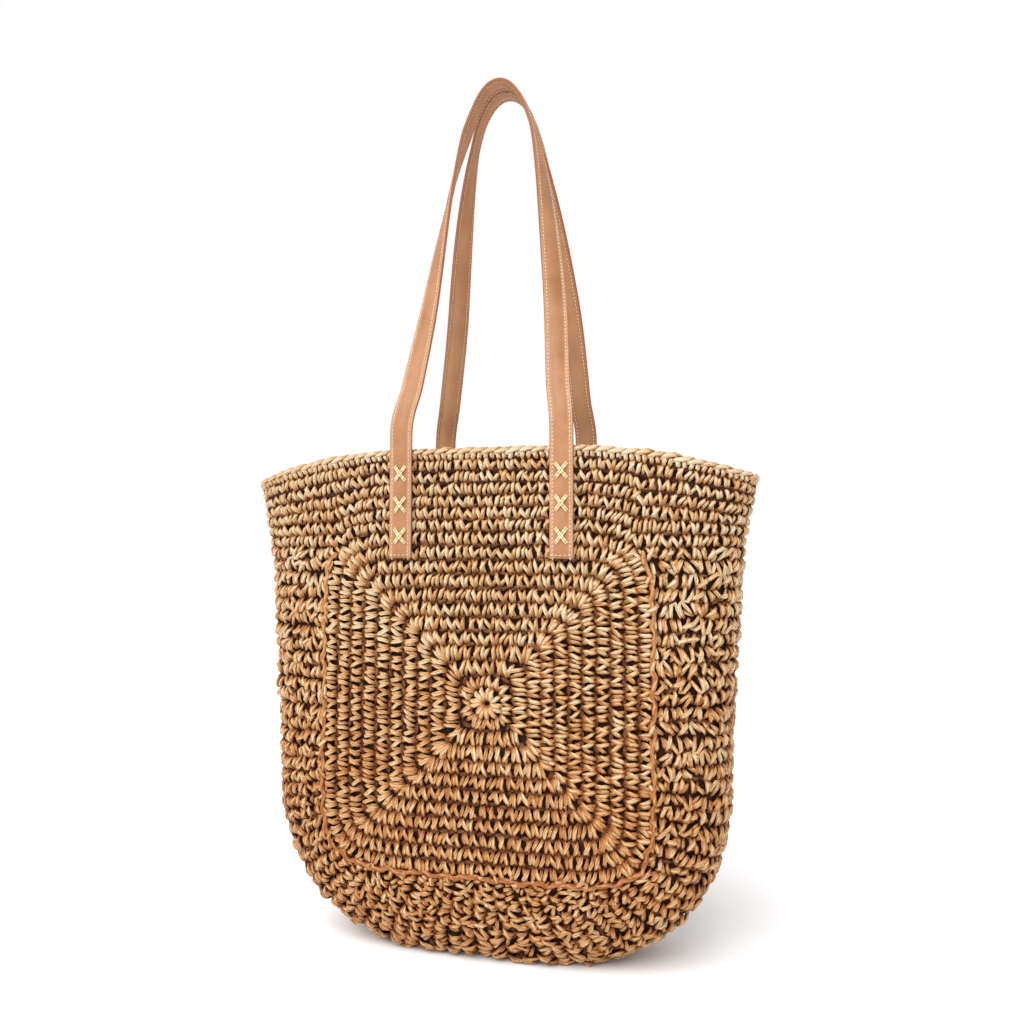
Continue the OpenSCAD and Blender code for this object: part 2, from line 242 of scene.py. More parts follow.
def shade_smooth(mesh):
    mesh.polygons.foreach_set("use_smooth", [True] * len(mesh.polygons))


def shown_mesh(ob, modifier):
    """The plain mesh that an object shows with a modifier, which it then loses."""
    bpy.context.view_layer.update()
    mesh = bpy.data.meshes.new_from_object(ob.evaluated_get(bpy.context.evaluated_depsgraph_get()))
    ob.modifiers.remove(modifier)
    return mesh


def guide_mesh(name, rows):
    points, edges, start = [], [], 0
    for row in rows:
        n = len(row["points"])
        points.append(row["points"])
        edges += [(start + i, start + i + 1) for i in range(n - 1)]
        if row["closed"]:
            edges.append((start + n - 1, start))
        start += n
    mesh = bpy.data.meshes.new(name)
    mesh.from_pydata(np.concatenate(points).tolist(), edges, [])
    for key, kind, field in (("along", "FLOAT_VECTOR", "vector"), ("out", "FLOAT_VECTOR", "vector"),
                             ("width", "FLOAT", "value")):
        data = np.concatenate([row[key] for row in rows]).astype(np.float32)
        mesh.attributes.new(key, kind, "POINT").data.foreach_set(field, data.ravel())
    return link(name, mesh)


def skin(rings, across, travel):
    """Points, faces and UVs of a closed skin: quads from ring to ring, then the two ends."""
    count, sides = rings.shape[:2]
    faces, uvs = [], []
    for i in range(count - 1):
        for j in range(sides):
            k = (j + 1) % sides
            faces.append((i * sides + j, i * sides + k, (i + 1) * sides + k, (i + 1) * sides + j))
            uvs += [(across[j], travel[i]), (across[j + 1], travel[i]),
                    (across[j + 1], travel[i + 1]), (across[j], travel[i + 1])]
    for i, order in ((0, range(sides - 1, -1, -1)), (count - 1, range(sides))):
        faces.append(tuple(i * sides + j for j in order))
        uvs += [(across[j], travel[i]) for j in order]
    return rings.reshape(-1, 3), faces, uvs


def skinned_mesh(name, skins, scale=1.0):
    """One mesh from several skins."""
    points, faces, uvs, start = [], [], [], 0
    for skin_points, skin_faces, skin_uvs in skins:
        points.append(skin_points * scale)
        faces += [[start + v for v in face] for face in skin_faces]
        uvs += skin_uvs
        start += len(skin_points)
    mesh = bpy.data.meshes.new(name)
    mesh.from_pydata(np.concatenate(points).tolist(), [], faces)
    mesh.uv_layers.new(name="UVMap").data.foreach_set("uv", np.array(uvs, np.float32).ravel())
    shade_smooth(mesh)
    return mesh


def store(mesh, name, values):
    """Keeps one number for each point of a mesh, for its material to read."""
    mesh.attributes.new(name, "FLOAT", "POINT").data.foreach_set("value", np.asarray(values, np.float32))


def faces_out(mesh, inside=None, weld=False):
    """Makes a mesh's faces agree, and look away from a point inside it."""
    bm = bmesh.new()
    bm.from_mesh(mesh)
    if weld:
        bmesh.ops.remove_doubles(bm, verts=bm.verts, dist=1e-6)
    bmesh.ops.recalc_face_normals(bm, faces=bm.faces)
    if inside is not None:
        bm.normal_update()
        facing = sum(f.normal.dot(f.calc_center_median() - Vector(inside)) * f.calc_area() for f in bm.faces)
        if facing < 0:
            bmesh.ops.reverse_faces(bm, faces=bm.faces)
    bm.to_mesh(mesh)
    bm.free()


def grid_mesh(name, lines, closed, material, inside=None):
    """A sheet over lines that all have the same number of points, closed or not along each line."""
    cols = len(lines[0])
    faces = [(r * cols + c, r * cols + (c + 1) % cols, (r + 1) * cols + (c + 1) % cols, (r + 1) * cols + c)
             for r in range(len(lines) - 1) for c in range(cols if closed else cols - 1)]
    mesh = bpy.data.meshes.new(name)
    mesh.from_pydata(np.asarray(lines).reshape(-1, 3).tolist(), [], faces)
    faces_out(mesh, inside, weld=True)
    shade_smooth(mesh)
    return link(name, mesh, material)


def thicken(ob, thickness):
    """Gives a sheet its thickness on its inner side, as real geometry."""
    modifier = ob.modifiers.new("thick", "SOLIDIFY")
    modifier.thickness = thickness
    modifier.offset = -1
    ob.data = shown_mesh(ob, modifier)
    return ob


# %% [markdown]
# ## Straw stitches
# A single crochet stitch shows two plump strands that leave one hole and spread apart, so
# each round reads as a ridge of leaning V shapes with dark gaps between. One strand is a
# small tube, thick in its middle and tucked down at both ends. A handful of different
# stitches is enough, because every copy is turned, stretched and shaded a little.

# %% Strands
maker = random.Random(11)
draw = maker.uniform
strand_sides = 6
strand_flat = 0.9          # a strand's height as a share of its width
crease_depth = 0.30        # how deep the fold along a strand is, as a share of its radius
most_twist = 1.3


def strand(path, radii):
    """The skin of a strand in millimetres, with one fold that winds along its top."""
    path = np.array(path, float)
    along = unit(np.gradient(path, axis=0))
    up = np.array([0.0, 0.0, 1.0]) - along * along[:, 2:3]
    steep = np.linalg.norm(up, axis=1) < 0.2
    up[steep] = np.array([0.0, 1.0, 0.0]) - along[steep] * along[steep, 1:2]
    up = unit(up)
    side = np.cross(along, up)
    wind = draw(-most_twist, most_twist) * (np.linspace(0, 1, len(path)) - 0.5)
    turn = math.pi / 2 + np.arange(strand_sides)[None, :] * 2 * math.pi / strand_sides + wind[:, None]
    ring = side[:, None] * np.cos(turn)[:, :, None] + strand_flat * up[:, None] * np.sin(turn)[:, :, None]
    fold = np.ones(strand_sides)
    fold[0] = 1 - crease_depth
    rings = path[:, None] + ring * fold[None, :, None] * np.array(radii)[:, None, None]
    return skin(rings, np.arange(strand_sides + 1) / strand_sides, travel_along(path))


def stitch_set(name, makers):
    """A collection of stitch meshes for the tree to pick from. Each also knows how high it lies."""
    collection = bpy.data.collections.new(name)
    for i, make in enumerate(makers):
        skins = [strand(path, radii) for path, radii in make()]
        mesh = skinned_mesh(f"{name}_{i}", skins, MM)
        store(mesh, "high", np.concatenate([points for points, _, _ in skins])[:, 2])
        collection.objects.link(bpy.data.objects.new(f"{name}_{i}", mesh))
    return collection


# %% Stitch shapes
lean = -1.7            # how far a stitch leans back along its row, in millimetres


def limb(x0, x1, y0, y1, crest, thick, bow=0.0):
    """One strand of a stitch: it comes up at (x0, y0), lies over the row and tucks in at (x1, y1)."""
    stops = (0.0, 0.15, 0.38, 0.64, 0.86, 1.0)
    heights = (-2.3, 0.1, 0.95, 1.0, -0.1, -2.4)
    widths = (0.34, 0.78, 1.06, 1.08, 0.70, 0.26)
    curl = draw(-0.9, 0.9)
    path = [(x0 + (x1 - x0) * t + bow * math.sin(math.pi * t) + curl * math.sin(2 * math.pi * t),
             y0 + (y1 - y0) * t, crest * h if h > 0 else h) for t, h in zip(stops, heights)]
    return path, [thick * w for w in widths]


def under_strand(thick=1.6):
    """The strand that runs along the foot of a row, seen between its stitches. It lies low, so the straw's
    painted shade makes it darker.
    """
    sway = draw(-0.6, 0.6)
    path = [(-4.6, 5.2, -2.4), (-1.6, 4.7 + sway, -1.2), (1.6, 5.3 - sway, -1.3), (4.6, 5.0, -2.5)]
    return path, [0.9 * thick, thick, thick, 0.9 * thick]


def stitch_v():
    """The usual stitch: two strands leave one hole and spread apart."""
    spread = draw(2.4, 4.0)
    top = draw(4.9, 6.4)
    crest = draw(1.6, 2.6)
    foot = draw(-0.8, 0.8)
    left = limb(foot - 0.6, lean - spread, -6.2, top, crest, draw(1.35, 1.65), draw(-0.6, 1.4))
    right = limb(foot + 1.0, lean + spread + 0.9, -5.4, top - draw(0.2, 2.4), crest * draw(0.35, 0.8),
                 draw(1.3, 1.55), draw(-1.4, 0.6))
    return [left, right, under_strand()]


def stitch_slanted():
    """Both strands lean the same way, as where the maker pulled the straw tight."""
    apart = draw(1.5, 2.1)
    crest = draw(1.6, 2.4)
    way = draw(2.2, 4.2) * maker.choice((1, 1, -1))
    first = limb(-apart + way * 0.6, -apart - way * 0.7, -5.9, 5.8, crest, draw(1.35, 1.6), draw(-0.8, 0.8))
    second = limb(apart + way * 0.5, apart - way * 0.6, -5.2, 5.0, crest * 0.6,
                  draw(1.3, 1.55), draw(-0.8, 0.8))
    return [first, second, under_strand()]


def stitch_caught():
    """One strand lies right across the other, as where the hook caught the straw twice."""
    crest = draw(2.0, 2.6)
    over = limb(draw(-3.0, -1.6), draw(1.0, 3.0), -5.6, 5.6, crest, 1.5, draw(-0.6, 0.6))
    below = limb(2.6, draw(-3.6, -2.2), -5.6, 5.6, 1.0, 1.5, draw(-0.6, 0.6))
    return [over, below, under_strand()]


def stitch_petal():
    """One fat strand of the star at a panel's middle."""
    tip = draw(7.0, 9.2)
    return [limb(0, draw(-1.0, 1.6), -4.4, tip, draw(2.2, 3.0), 1.8, draw(-0.6, 0.8))]


def loose_loop():
    """A looser stitch of the gusset: one strand goes up, over and down beside itself."""
    wide = draw(1.6, 2.8)
    high = draw(1.7, 2.8)
    reach = draw(4.6, 6.4)
    shift = draw(-3.4, 3.4)
    path = [(-wide - 0.4, -reach - 0.8, -2.4), (-wide + shift * 0.3, -0.8, high),
            (-wide * 0.6 + shift, reach * 0.8, high), (wide * 0.6 + shift, reach, high * 0.6),
            (wide + shift * 0.6, reach * 0.2, high), (wide + 1.1, -reach * 0.7, 0.3),
            (wide + 1.2, -reach - 1.2, -2.6)]
    return [(path, [0.7, 1.5, 1.6, 1.3, 1.55, 1.4, 0.7]), under_strand(1.5)]


def crossed():
    """Two strands of the gusset that cross each other over a third."""
    high = draw(1.8, 2.4)
    over = limb(draw(-4.6, -1.8), draw(1.8, 4.8), -5.8, 5.6, high + 0.4, 1.6, draw(-1.2, 1.2))
    under = limb(3.2, draw(-4.4, -1.6), -5.6, 6.2, high - 1.2, 1.5, -0.6)
    return [over, under, under_strand(1.5)]


def tangle():
    """A stitch of the gusset that was worked slackly: its strands fan out unevenly."""
    high = draw(1.6, 2.3)
    first = limb(-2.0, draw(-5.4, -3.6), -4.8, 5.0, high - 0.7, 1.5, -0.8)
    second = limb(draw(-2.0, 0.4), draw(0.6, 2.6), -5.8, 6.4, high + 0.3, 1.65, 0.9)
    third = limb(3.0, draw(2.4, 5.0), -5.4, 3.8, high - 0.9, 1.45, 1.0)
    return [first, second, third]


def edging_chain():
    """One link of the edging: a strand slants along the rim over the next link, on two short posts."""
    rise = draw(-0.5, 0.5)
    over = [(-8.8, -1.8, -1.4), (-5.4, -0.2, 1.3), (-1.2, 2.0 + rise, 2.2), (3.4, 3.7, 1.6),
            (7.0, 3.6, -0.8), (8.8, 2.0, -2.8)]
    under = [(-7.0, 3.2, -3.4), (-3.0, 3.8, -2.4), (1.2, 2.2, -2.2), (4.8, 0.2, -2.4), (7.0, -1.8, -3.2)]
    left = limb(-3.2, -2.0, -6.6, 2.4, 1.5, 1.7, -0.4)
    right = limb(0.6, 1.6, -6.4, 2.6, 1.2, 1.7, 0.5)
    return [(over, [0.8, 1.7, 2.05, 1.95, 1.5, 0.8]), (under, [1.0, 1.6, 1.8, 1.6, 1.0]), left, right]


panel_stitches = stitch_set("panel_stitches", [stitch_v, stitch_slanted, stitch_v, stitch_v,
                                               stitch_caught] * 2)
petals = stitch_set("petals", [stitch_petal] * 5)
gusset_stitches = stitch_set("gusset_stitches", [loose_loop, tangle, crossed, stitch_v, tangle, loose_loop,
                                                 stitch_slanted, loose_loop, crossed, tangle])
edging_stitches = stitch_set("edging_stitches", [edging_chain] * 4)

# %% [markdown]
# ## The tree that crochets
# The tree turns a guide into curves, cuts each into steps one stitch long, and sets a
# stitch at every point with its Z out of the wall and its X along the row. Small random
# turns and sizes keep it from looking printed. Each stitch gets its own shade before the
# copies are made real, so the straw's colour can change from one to the next.

# %% Tree helpers


def in_use(sockets, name=None):
    """The socket in use. A node has one of each name for every kind of data."""
    return next(s for s in sockets if s.enabled and name in (None, s.name))


class Tree:
    """Builds a Geometry Nodes tree: call add() with a node type, inputs and settings."""

    def __init__(self, name, sockets):
        self.group = bpy.data.node_groups.new(name, "GeometryNodeTree")
        face = self.group.interface
        face.new_socket("Geometry", in_out="OUTPUT", socket_type="NodeSocketGeometry")
        self.ids = {label: face.new_socket(label, in_out="INPUT", socket_type="NodeSocket" + kind).identifier
                    for label, kind in sockets.items()}
        self.given = self.group.nodes.new("NodeGroupInput").outputs
        self.end = self.group.nodes.new("NodeGroupOutput")

    def add(self, kind, inputs=None, **settings):
        node = self.group.nodes.new(kind)
        for key, value in settings.items():
            setattr(node, key, value)
        for key, value in (inputs or {}).items():
            socket = in_use(node.inputs, key) if isinstance(key, str) else node.inputs[key]
            if isinstance(value, bpy.types.NodeSocket):
                self.group.links.new(value, socket)
            else:
                socket.default_value = value
        return in_use(node.outputs)

    def random(self, kind, low, high, salt):
        """A random value for each stitch. The salt keeps one use from repeating another."""
        seed = self.add("ShaderNodeMath", {0: self.given["seed"], 1: float(salt)}, operation="ADD")
        return self.add("FunctionNodeRandomValue", {"Min": low, "Max": high, "Seed": seed}, data_type=kind)

    def field(self, name, kind):
        return self.add("GeometryNodeInputNamedAttribute", {"Name": name}, data_type=kind)


# %% The crochet tree
crochet = Tree("crochet", {"rows": "Geometry", "stitches": "Collection", "step": "Float", "width": "Float",
                           "turn": "Float", "jitter": "Float", "seed": "Int", "material": "Material"})


def crochet_tree(tree):
    given = tree.given
    curves = tree.add("GeometryNodeMeshToCurve", {"Mesh": given["rows"]})
    steps = tree.add("GeometryNodeResampleCurve", {"Curve": curves, "Length": given["step"]}, mode="LENGTH")
    nudge = tree.add("ShaderNodeVectorMath", {0: tree.random("FLOAT_VECTOR", (-1, -1, -1), (1, 1, 1), 6),
                                              "Scale": given["jitter"]}, operation="SCALE")
    moved = tree.add("GeometryNodeSetPosition", {"Geometry": steps, "Offset": nudge})
    out, along = tree.field("out", "FLOAT_VECTOR"), tree.field("along", "FLOAT_VECTOR")
    facing = tree.add("FunctionNodeAxesToRotation", {"Primary Axis": out, "Secondary Axis": along},
                      primary_axis="Z", secondary_axis="X")
    angle = tree.add("ShaderNodeMath", {0: tree.random("FLOAT", -1.0, 1.0, 1), 1: given["turn"]},
                     operation="MULTIPLY")
    tip = tree.random("FLOAT", -0.14, 0.14, 2)
    wobble = tree.add("ShaderNodeCombineXYZ", {0: tip, 1: tip, 2: angle})
    spin = tree.add("FunctionNodeEulerToRotation", {"Euler": wobble})
    turned = tree.add("FunctionNodeRotateRotation", {"Rotation": facing, "Rotate By": spin},
                      rotation_space="LOCAL")
    width = tree.add("ShaderNodeMath", {0: tree.field("width", "FLOAT"), 1: given["width"]},
                     operation="DIVIDE")
    size = tree.random("FLOAT_VECTOR", (0.92, 0.96, 0.85), (1.1, 1.1, 1.2), 3)
    stretch = tree.add("ShaderNodeCombineXYZ", {0: 1.0, 1: width, 2: 1.0})
    scale = tree.add("ShaderNodeVectorMath", {0: size, 1: stretch}, operation="MULTIPLY")
    shapes = tree.add("GeometryNodeCollectionInfo", {
        "Collection": given["stitches"], "Separate Children": True, "Reset Children": True})
    placed = tree.add("GeometryNodeInstanceOnPoints", {
        "Points": moved, "Instance": shapes, "Pick Instance": True, "Rotation": turned, "Scale": scale,
        "Instance Index": tree.random("INT", 0, 99, 4)})
    marked = tree.add("GeometryNodeStoreNamedAttribute", {
        "Geometry": placed, "Name": "shade", "Value": tree.random("FLOAT", 0.0, 1.0, 5)},
        data_type="FLOAT", domain="INSTANCE")
    real = tree.add("GeometryNodeRealizeInstances", {"Geometry": marked})
    painted = tree.add("GeometryNodeSetMaterial", {"Geometry": real, "Material": given["material"]})
    tree.group.links.new(painted, tree.end.inputs[0])


crochet_tree(crochet)
print("crochet tree", len(crochet.group.nodes), "nodes")


def stitched(name, rows, **values):
    """Runs the tree along rows, with its other inputs by name, and returns a plain mesh object."""
    guide = guide_mesh(name + "_rows", rows)
    modifier = guide.modifiers.new("make", "NODES")
    modifier.node_group = crochet.group
    for label, value in values.items():
        modifier[crochet.ids[label]] = value
    mesh = shown_mesh(guide, modifier)
    mesh.name = name
    bpy.data.objects.remove(guide)
    return link(name, mesh)


# %% [markdown]
# ## Materials
# Shader maths is written as ordinary sums on a small class that wraps a socket, so a
# mask reads like a formula. Only colour, roughness and the bump change over a surface;
# everything that is the same all over is a plain number on the shader.

# %% Shader helpers


class Sock:
    """A value in a shader tree. A sum on it, in either order, adds its Math node."""

    def __init__(self, nodes, socket):
        self.nodes, self.socket = nodes, socket

    def math(self, kind, *values):
        return self.nodes.node("ShaderNodeMath", dict(enumerate(values)), operation=kind)

    def __add__(self, other):
        return self.math("ADD", self, other)

    def __sub__(self, other):
        return self.math("SUBTRACT", self, other)

    def __rsub__(self, other):
        return self.math("SUBTRACT", other, self)

    def __mul__(self, other):
        return self.math("MULTIPLY", self, other)

    def sine(self):
        return self.math("SINE", self)

    def size(self):
        return self.math("ABSOLUTE", self)

    __radd__ = __add__
    __rmul__ = __mul__


class Nodes:
    """A shader tree. node() adds a node by its type, its settings and its sockets' values or links."""

    def __init__(self, tree):
        self.tree = tree

    def feed(self, socket, value):
        if isinstance(value, Sock):
            self.tree.links.new(value.socket, socket)
        else:
            socket.default_value = (*value, 1) if isinstance(value, tuple) else value

    def node(self, kind, inputs=None, output=0, stops=(), **settings):
        node = self.tree.nodes.new(kind)
        for key, value in settings.items():
            setattr(node, key, value)
        if stops:
            elements = node.color_ramp.elements
            while len(elements) < len(stops):
                elements.new(0.5)
            for element, (at, colour) in zip(elements, stops):
                element.position = at
                element.color = (*colour, 1)
        for key, value in (inputs or {}).items():
            self.feed(node.inputs[key], value)
        return Sock(self, node.outputs[output])


class Shader(Nodes):
    """One material, with the constants of its surface by name."""

    def __init__(self, name, roughness, **constants):
        self.material = bpy.data.materials.new(name)
        self.material.use_nodes = True
        super().__init__(self.material.node_tree)
        self.surface = self.tree.nodes["Principled BSDF"]
        for key, value in {"Roughness": roughness, **constants}.items():
            self.feed(self.surface.inputs[key.replace("_", " ")], value)

    def place(self, output="Object"):
        return self.node("ShaderNodeTexCoord", output=output)

    def attribute(self, name):
        return self.node("ShaderNodeAttribute", output="Fac", attribute_name=name)

    def noise(self, scale, detail=3.0, rough=0.55, vector=None):
        return self.node("ShaderNodeTexNoise", {"Vector": vector or self.place(), "Scale": scale,
                                                "Detail": detail, "Roughness": rough})

    def split(self, vector):
        first = self.node("ShaderNodeSeparateXYZ", {0: vector})
        return [Sock(self, socket) for socket in first.socket.node.outputs]

    def range(self, value, low, high, to_low=0.0, to_high=1.0):
        return self.node("ShaderNodeMapRange", {"Value": value, "From Min": low, "From Max": high,
                                                "To Min": to_low, "To Max": to_high},
                         interpolation_type="SMOOTHSTEP")

    def ramp(self, value, stops):
        return self.node("ShaderNodeValToRGB", {0: value}, stops=stops)

    def mix(self, share, a, b):
        return self.node("ShaderNodeMix", {0: share, 6: a, 7: b}, output=2, data_type="RGBA")

    def finish(self, colour, roughness=None, height=None, bump=0.2, distance=1 * MM):
        """Sets what changes over the surface and returns the material."""
        self.feed(self.surface.inputs["Base Color"], colour)
        if roughness is not None:
            self.feed(self.surface.inputs["Roughness"], roughness)
        if height is not None:
            bumped = self.node("ShaderNodeBump", {"Height": height, "Strength": bump, "Distance": distance})
            self.feed(self.surface.inputs["Normal"], bumped)
        return self.material


# %% Straw
# The darkest colour is painted shade for the low parts of each stitch. The palest is both pale straw and a
# painted highlight.
straw_painted_shade = (0.054, 0.008, 0.001)
straw_red = (0.30, 0.082, 0.014)
straw_mid = (0.47, 0.192, 0.056)
straw_light = (0.63, 0.355, 0.150)
straw_pale_and_painted_highlight = (0.73, 0.60, 0.41)
creases = 4                # creases round one strand
painted_shade_h = 2.8             # how far up a stitch its painted shade fades, in millimetres


def straw_material(name, darker=0.0, depth=-1.5):
    """Twisted paper straw: fine creases run along each strand. Its low parts are painted dark as painted
    shade, and the crests of its strands painted lighter as a painted highlight.
    """
    m = Shader(name, 0.42, Specular_IOR_Level=0.38)
    round_, along, _ = m.split(m.place("UV"))
    # The straw is darker towards the bottom of the bag and lighter towards the rim.
    rise = m.range(m.split(m.place())[2], 0.02, 0.36, -0.10, 0.10)
    shade = m.attribute("shade")
    high = m.attribute("high")
    stretched = m.node("ShaderNodeCombineXYZ", {0: round_ * 11.0, 1: along * 0.30, 2: shade * 40.0})
    fibre = m.noise(1.0, 2.0, 0.6, stretched)
    crease = (round_ * (2 * math.pi * creases) + fibre * 6.0 + along * 0.45).sine()
    patch = m.noise(22.0, 2.0)
    speck = m.noise(900.0, 2.0)
    # Painted light: the straw is painted a little darker low on each stitch and lighter on the crests of its
    # strands, as a painted highlight.
    crest = m.range(high, 0.6, 2.8, -0.10, 0.20)
    tone = (shade * 0.18 + fibre * 0.62 + patch * 0.26 + crease * 0.12 + speck * 0.20
            + crest + rise - (0.19 + darker))
    body = m.ramp(tone, [(0.16, straw_red), (0.40, straw_mid), (0.62, straw_light), (0.88, straw_pale_and_painted_highlight)])
    # Painted shade: each stitch is painted dark at its lowest parts, fading out over a few millimetres up the
    # stitch.
    painted_shade_fade = m.range(high, depth, depth + painted_shade_h)
    rough = m.range(fibre, 0.3, 0.7, 0.32, 0.50) + (1 - painted_shade_fade) * 0.35
    return m.finish(m.mix(painted_shade_fade, straw_painted_shade, body), rough, crease * 0.6 + fibre * 1.3, 0.8, 0.7 * MM)


def web_material():
    """The inner layer of straw that closes the gaps between stitches, painted near black as painted shade."""
    m = Shader("painted_shade_web", 0.8, Specular_IOR_Level=0.2)
    grain = m.noise(420.0)
    stops = [(0.35, (0.014, 0.004, 0.001)), (0.6, (0.055, 0.015, 0.004)), (0.8, (0.13, 0.04, 0.010))]
    return m.finish(m.ramp(grain, stops), None, grain, 0.6)


straw = straw_material("straw")
# The edging's copy is a little lighter, and its painted shade begins lower down, under its deeper strands.
straw_edging = straw_material("straw_edging", -0.06, -5.5)
painted_shade_web = web_material()
print("straw:", len(straw.node_tree.nodes), "nodes")

# %% [markdown]
# ## The panels
# Each panel is crocheted in rounds. The first round is a star of petals about a small hole,
# the next ones are nearly round, and each later one is squarer, because the maker adds
# stitches at four corners. The star sits a little off the middle, as handwork does.

# %% Panel rounds
rounds = 12
round_w = panel_half / rounds
sunk = 1.1 * MM            # how far the middle of the stitches lies under the outer surface
star_shift = 6 * MM
stitch_l = 7.0 * MM
star_petals = 12
corner_points = 480        # points of a round that is searched for its corners
corner_sink = 0.9 * MM     # the extra stitches at the corners lie under the round's own


def panel_round(k, points=240):
    half = (k + 0.5) * round_w
    squarer = float(smooth((k - 0.5) / 3.5))
    power = 2.2 + (panel_power - 2.2) * squarer + 7.0 * squarer * math.sin(math.pi * k / (rounds - 1))
    angle = -full_turn(points) + 2.4 * k
    x, z = rounded_square(angle, half, power)
    reach = np.hypot(x, z) / half
    x = x + star_shift * (1 - half / panel_half)
    z = z + panel_z
    spot = np.stack([x, -wall_y(x, z, sunk), z], -1)
    fuller = 1.18 if k in (2, 3) else 1.0
    return row_from(spot, front_normal(x, z, sunk), True, fuller * round_w * (1 + 0.55 * (reach - 1)))


def corner_rows(k):
    """A few extra stitches at each corner of a round, where the maker works three into one."""
    row = panel_round(k, corner_points)
    slant = row["points"] - np.array([star_shift * (1 - (k + 0.5) / rounds), 0, panel_z])
    rows = []
    for way_x, way_z in ((1, 1), (-1, 1), (-1, -1), (1, -1)):
        corner = int(np.argmax(slant[:, 0] * way_x + slant[:, 2] * way_z))
        near = [(corner + i) % corner_points for i in range(-3, 4)]
        half = 0.55 * stitch_l
        line = row["points"][corner] + row["along"][corner] * np.linspace(-half, half, 7)[:, None]
        rows.append({"points": line - row["out"][corner] * corner_sink, "along": row["along"][near],
                     "out": row["out"][near], "closed": False, "width": row["width"][near]})
    return rows


# %% Crochet the panels


def crocheted(name, rows, node, stitches, seed, step=stitch_l, width=round_w, turn=0.24, jitter=0.5,
              material=straw):
    """Crochets rows onto the bag. node is the CAD node that the piece stands for, if there is one."""
    made = stitched(name, rows, stitches=stitches, step=step, width=width, turn=turn, jitter=jitter * MM,
                    seed=seed, material=material)
    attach(made, "bag")
    if node:
        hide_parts(node)
    print(f"{name}: {sum(len(p.vertices) - 2 for p in made.data.polygons)} triangles")


panel_rows = [panel_round(k) for k in range(1, rounds)]
for k in range(3, rounds):
    panel_rows += corner_rows(k)
star_row = [panel_round(0, 48)]
for side, place, seed in (("front", dict, 3), ("back", half_turn, 8)):
    crocheted(f"{side}_panel_crochet", [place(r) for r in panel_rows], f"{side}_panel", panel_stitches, seed)
    crocheted(f"{side}_panel_star", [place(r) for r in star_row], None, petals, seed + 40,
              step=2 * math.pi * 0.5 * round_w / star_petals, turn=0.2, jitter=0.3)

# %% [markdown]
# ## The gusset
# The gusset is one long strip whose rows run across it, from the front panel's seam to the
# back one's. Round the lower corners its rows fan out like the ribs of a shell, so each row
# also stores how wide it is at every point, and the stitches stretch to fill it.

# %% Gusset rows
gusset_from = 0.75 * math.pi       # the seam's angles round a panel, from the top left over the bottom
gusset_to = 2.25 * math.pi
gusset_row_w = 10.6 * MM
foot_z = 3.6 * MM                  # the lowest that the middle of a stitch may lie
half_columns = 33
inside_point = (0, 0, 0.2)


def gusset_line(angle, inset, columns=half_columns):
    """Points across the gusset at one place along the panel's seam, from front to back."""
    x0, up = rounded_square(angle, panel_half, panel_power)
    seam_z = panel_z + up
    core_z = max(corner_h, seam_z)
    start = float(gauge(x0, seam_z, inset))
    share = start + (1 - start) * np.sin((1 - np.linspace(1, 0, columns)) * math.pi / 2)
    reach = share / start
    z = core_z + (seam_z - core_z) * reach
    y = depth_at(share, z, inset)
    y[-1] = 0
    half = np.stack([x0 * reach, -y, np.maximum(z, foot_z + 0.3 * inset)], -1)
    return np.concatenate([half, half[-2::-1] * np.array([1, -1, 1])])


def gusset_rows():
    """Each row with its angle. Their spacing is measured partly at the seam, mostly at the rim."""
    angles = np.linspace(gusset_from, gusset_to, 721)
    seam = np.stack([np.array(rounded_square(a, panel_half, panel_power)) for a in angles])
    edge = np.stack([gusset_line(a, sunk)[half_columns - 1][[0, 2]] for a in angles])
    travel = np.concatenate([[0], np.cumsum(0.4 * np.linalg.norm(np.diff(seam, axis=0), axis=1)
                                            + 0.6 * np.linalg.norm(np.diff(edge, axis=0), axis=1))])
    count = round(travel[-1] / gusset_row_w)
    gap = travel[-1] / count
    rates = np.gradient(travel, angles)
    rows = []
    for i, a in enumerate(np.interp((np.arange(count) + 0.5) * travel[-1] / count, travel, angles)):
        here = gusset_line(a, sunk)
        strip = (gusset_line(a + 0.01, sunk) - gusset_line(a - 0.01, sunk)) / 0.02
        along = line_along(here, False)
        sideways = square_to(strip, along)
        width = np.linalg.norm(sideways, axis=1) * gap / float(np.interp(a, angles, rates))
        out = np.cross(along, unit(sideways))
        if (out * (here - np.array(inside_point))).sum() < 0:
            out = -out
        keep = slice(0, -2)
        if i % 2:
            here, out, width = here[::-1], out[::-1], width[::-1]
            keep = slice(1, -1)
        rows.append((a, row_from(here[keep], out[keep], False, np.clip(width[keep], 6.5 * MM, 17 * MM))))
    return rows


all_rows = gusset_rows()
for number, (part, low, high) in enumerate((("left", 0, 1.25), ("base", 1.25, 1.75), ("right", 1.75, 3))):
    rows = [row for a, row in all_rows if low * math.pi <= a <= high * math.pi]
    crocheted(f"gusset_{part}_crochet", rows, f"gusset_{part}", gusset_stitches, 20 + number,
              width=gusset_row_w, turn=0.75, jitter=1.2)
print("gusset rows", len(all_rows))

# %% [markdown]
# ## The mouth band and its edging
# Six rounds go right round the mouth above the panels, and the upper three show inside it
# too. The last round is an edging of slanting chain links that stands a little proud.

# %% Band rows
band_rows = 6
band_fuller = 1.13         # how much wider the band's stitches are than their rows
inner_rows = 3
inner_in = 3.3 * MM
edging_level = 0.40        # how far the edging lies above the band, in rows


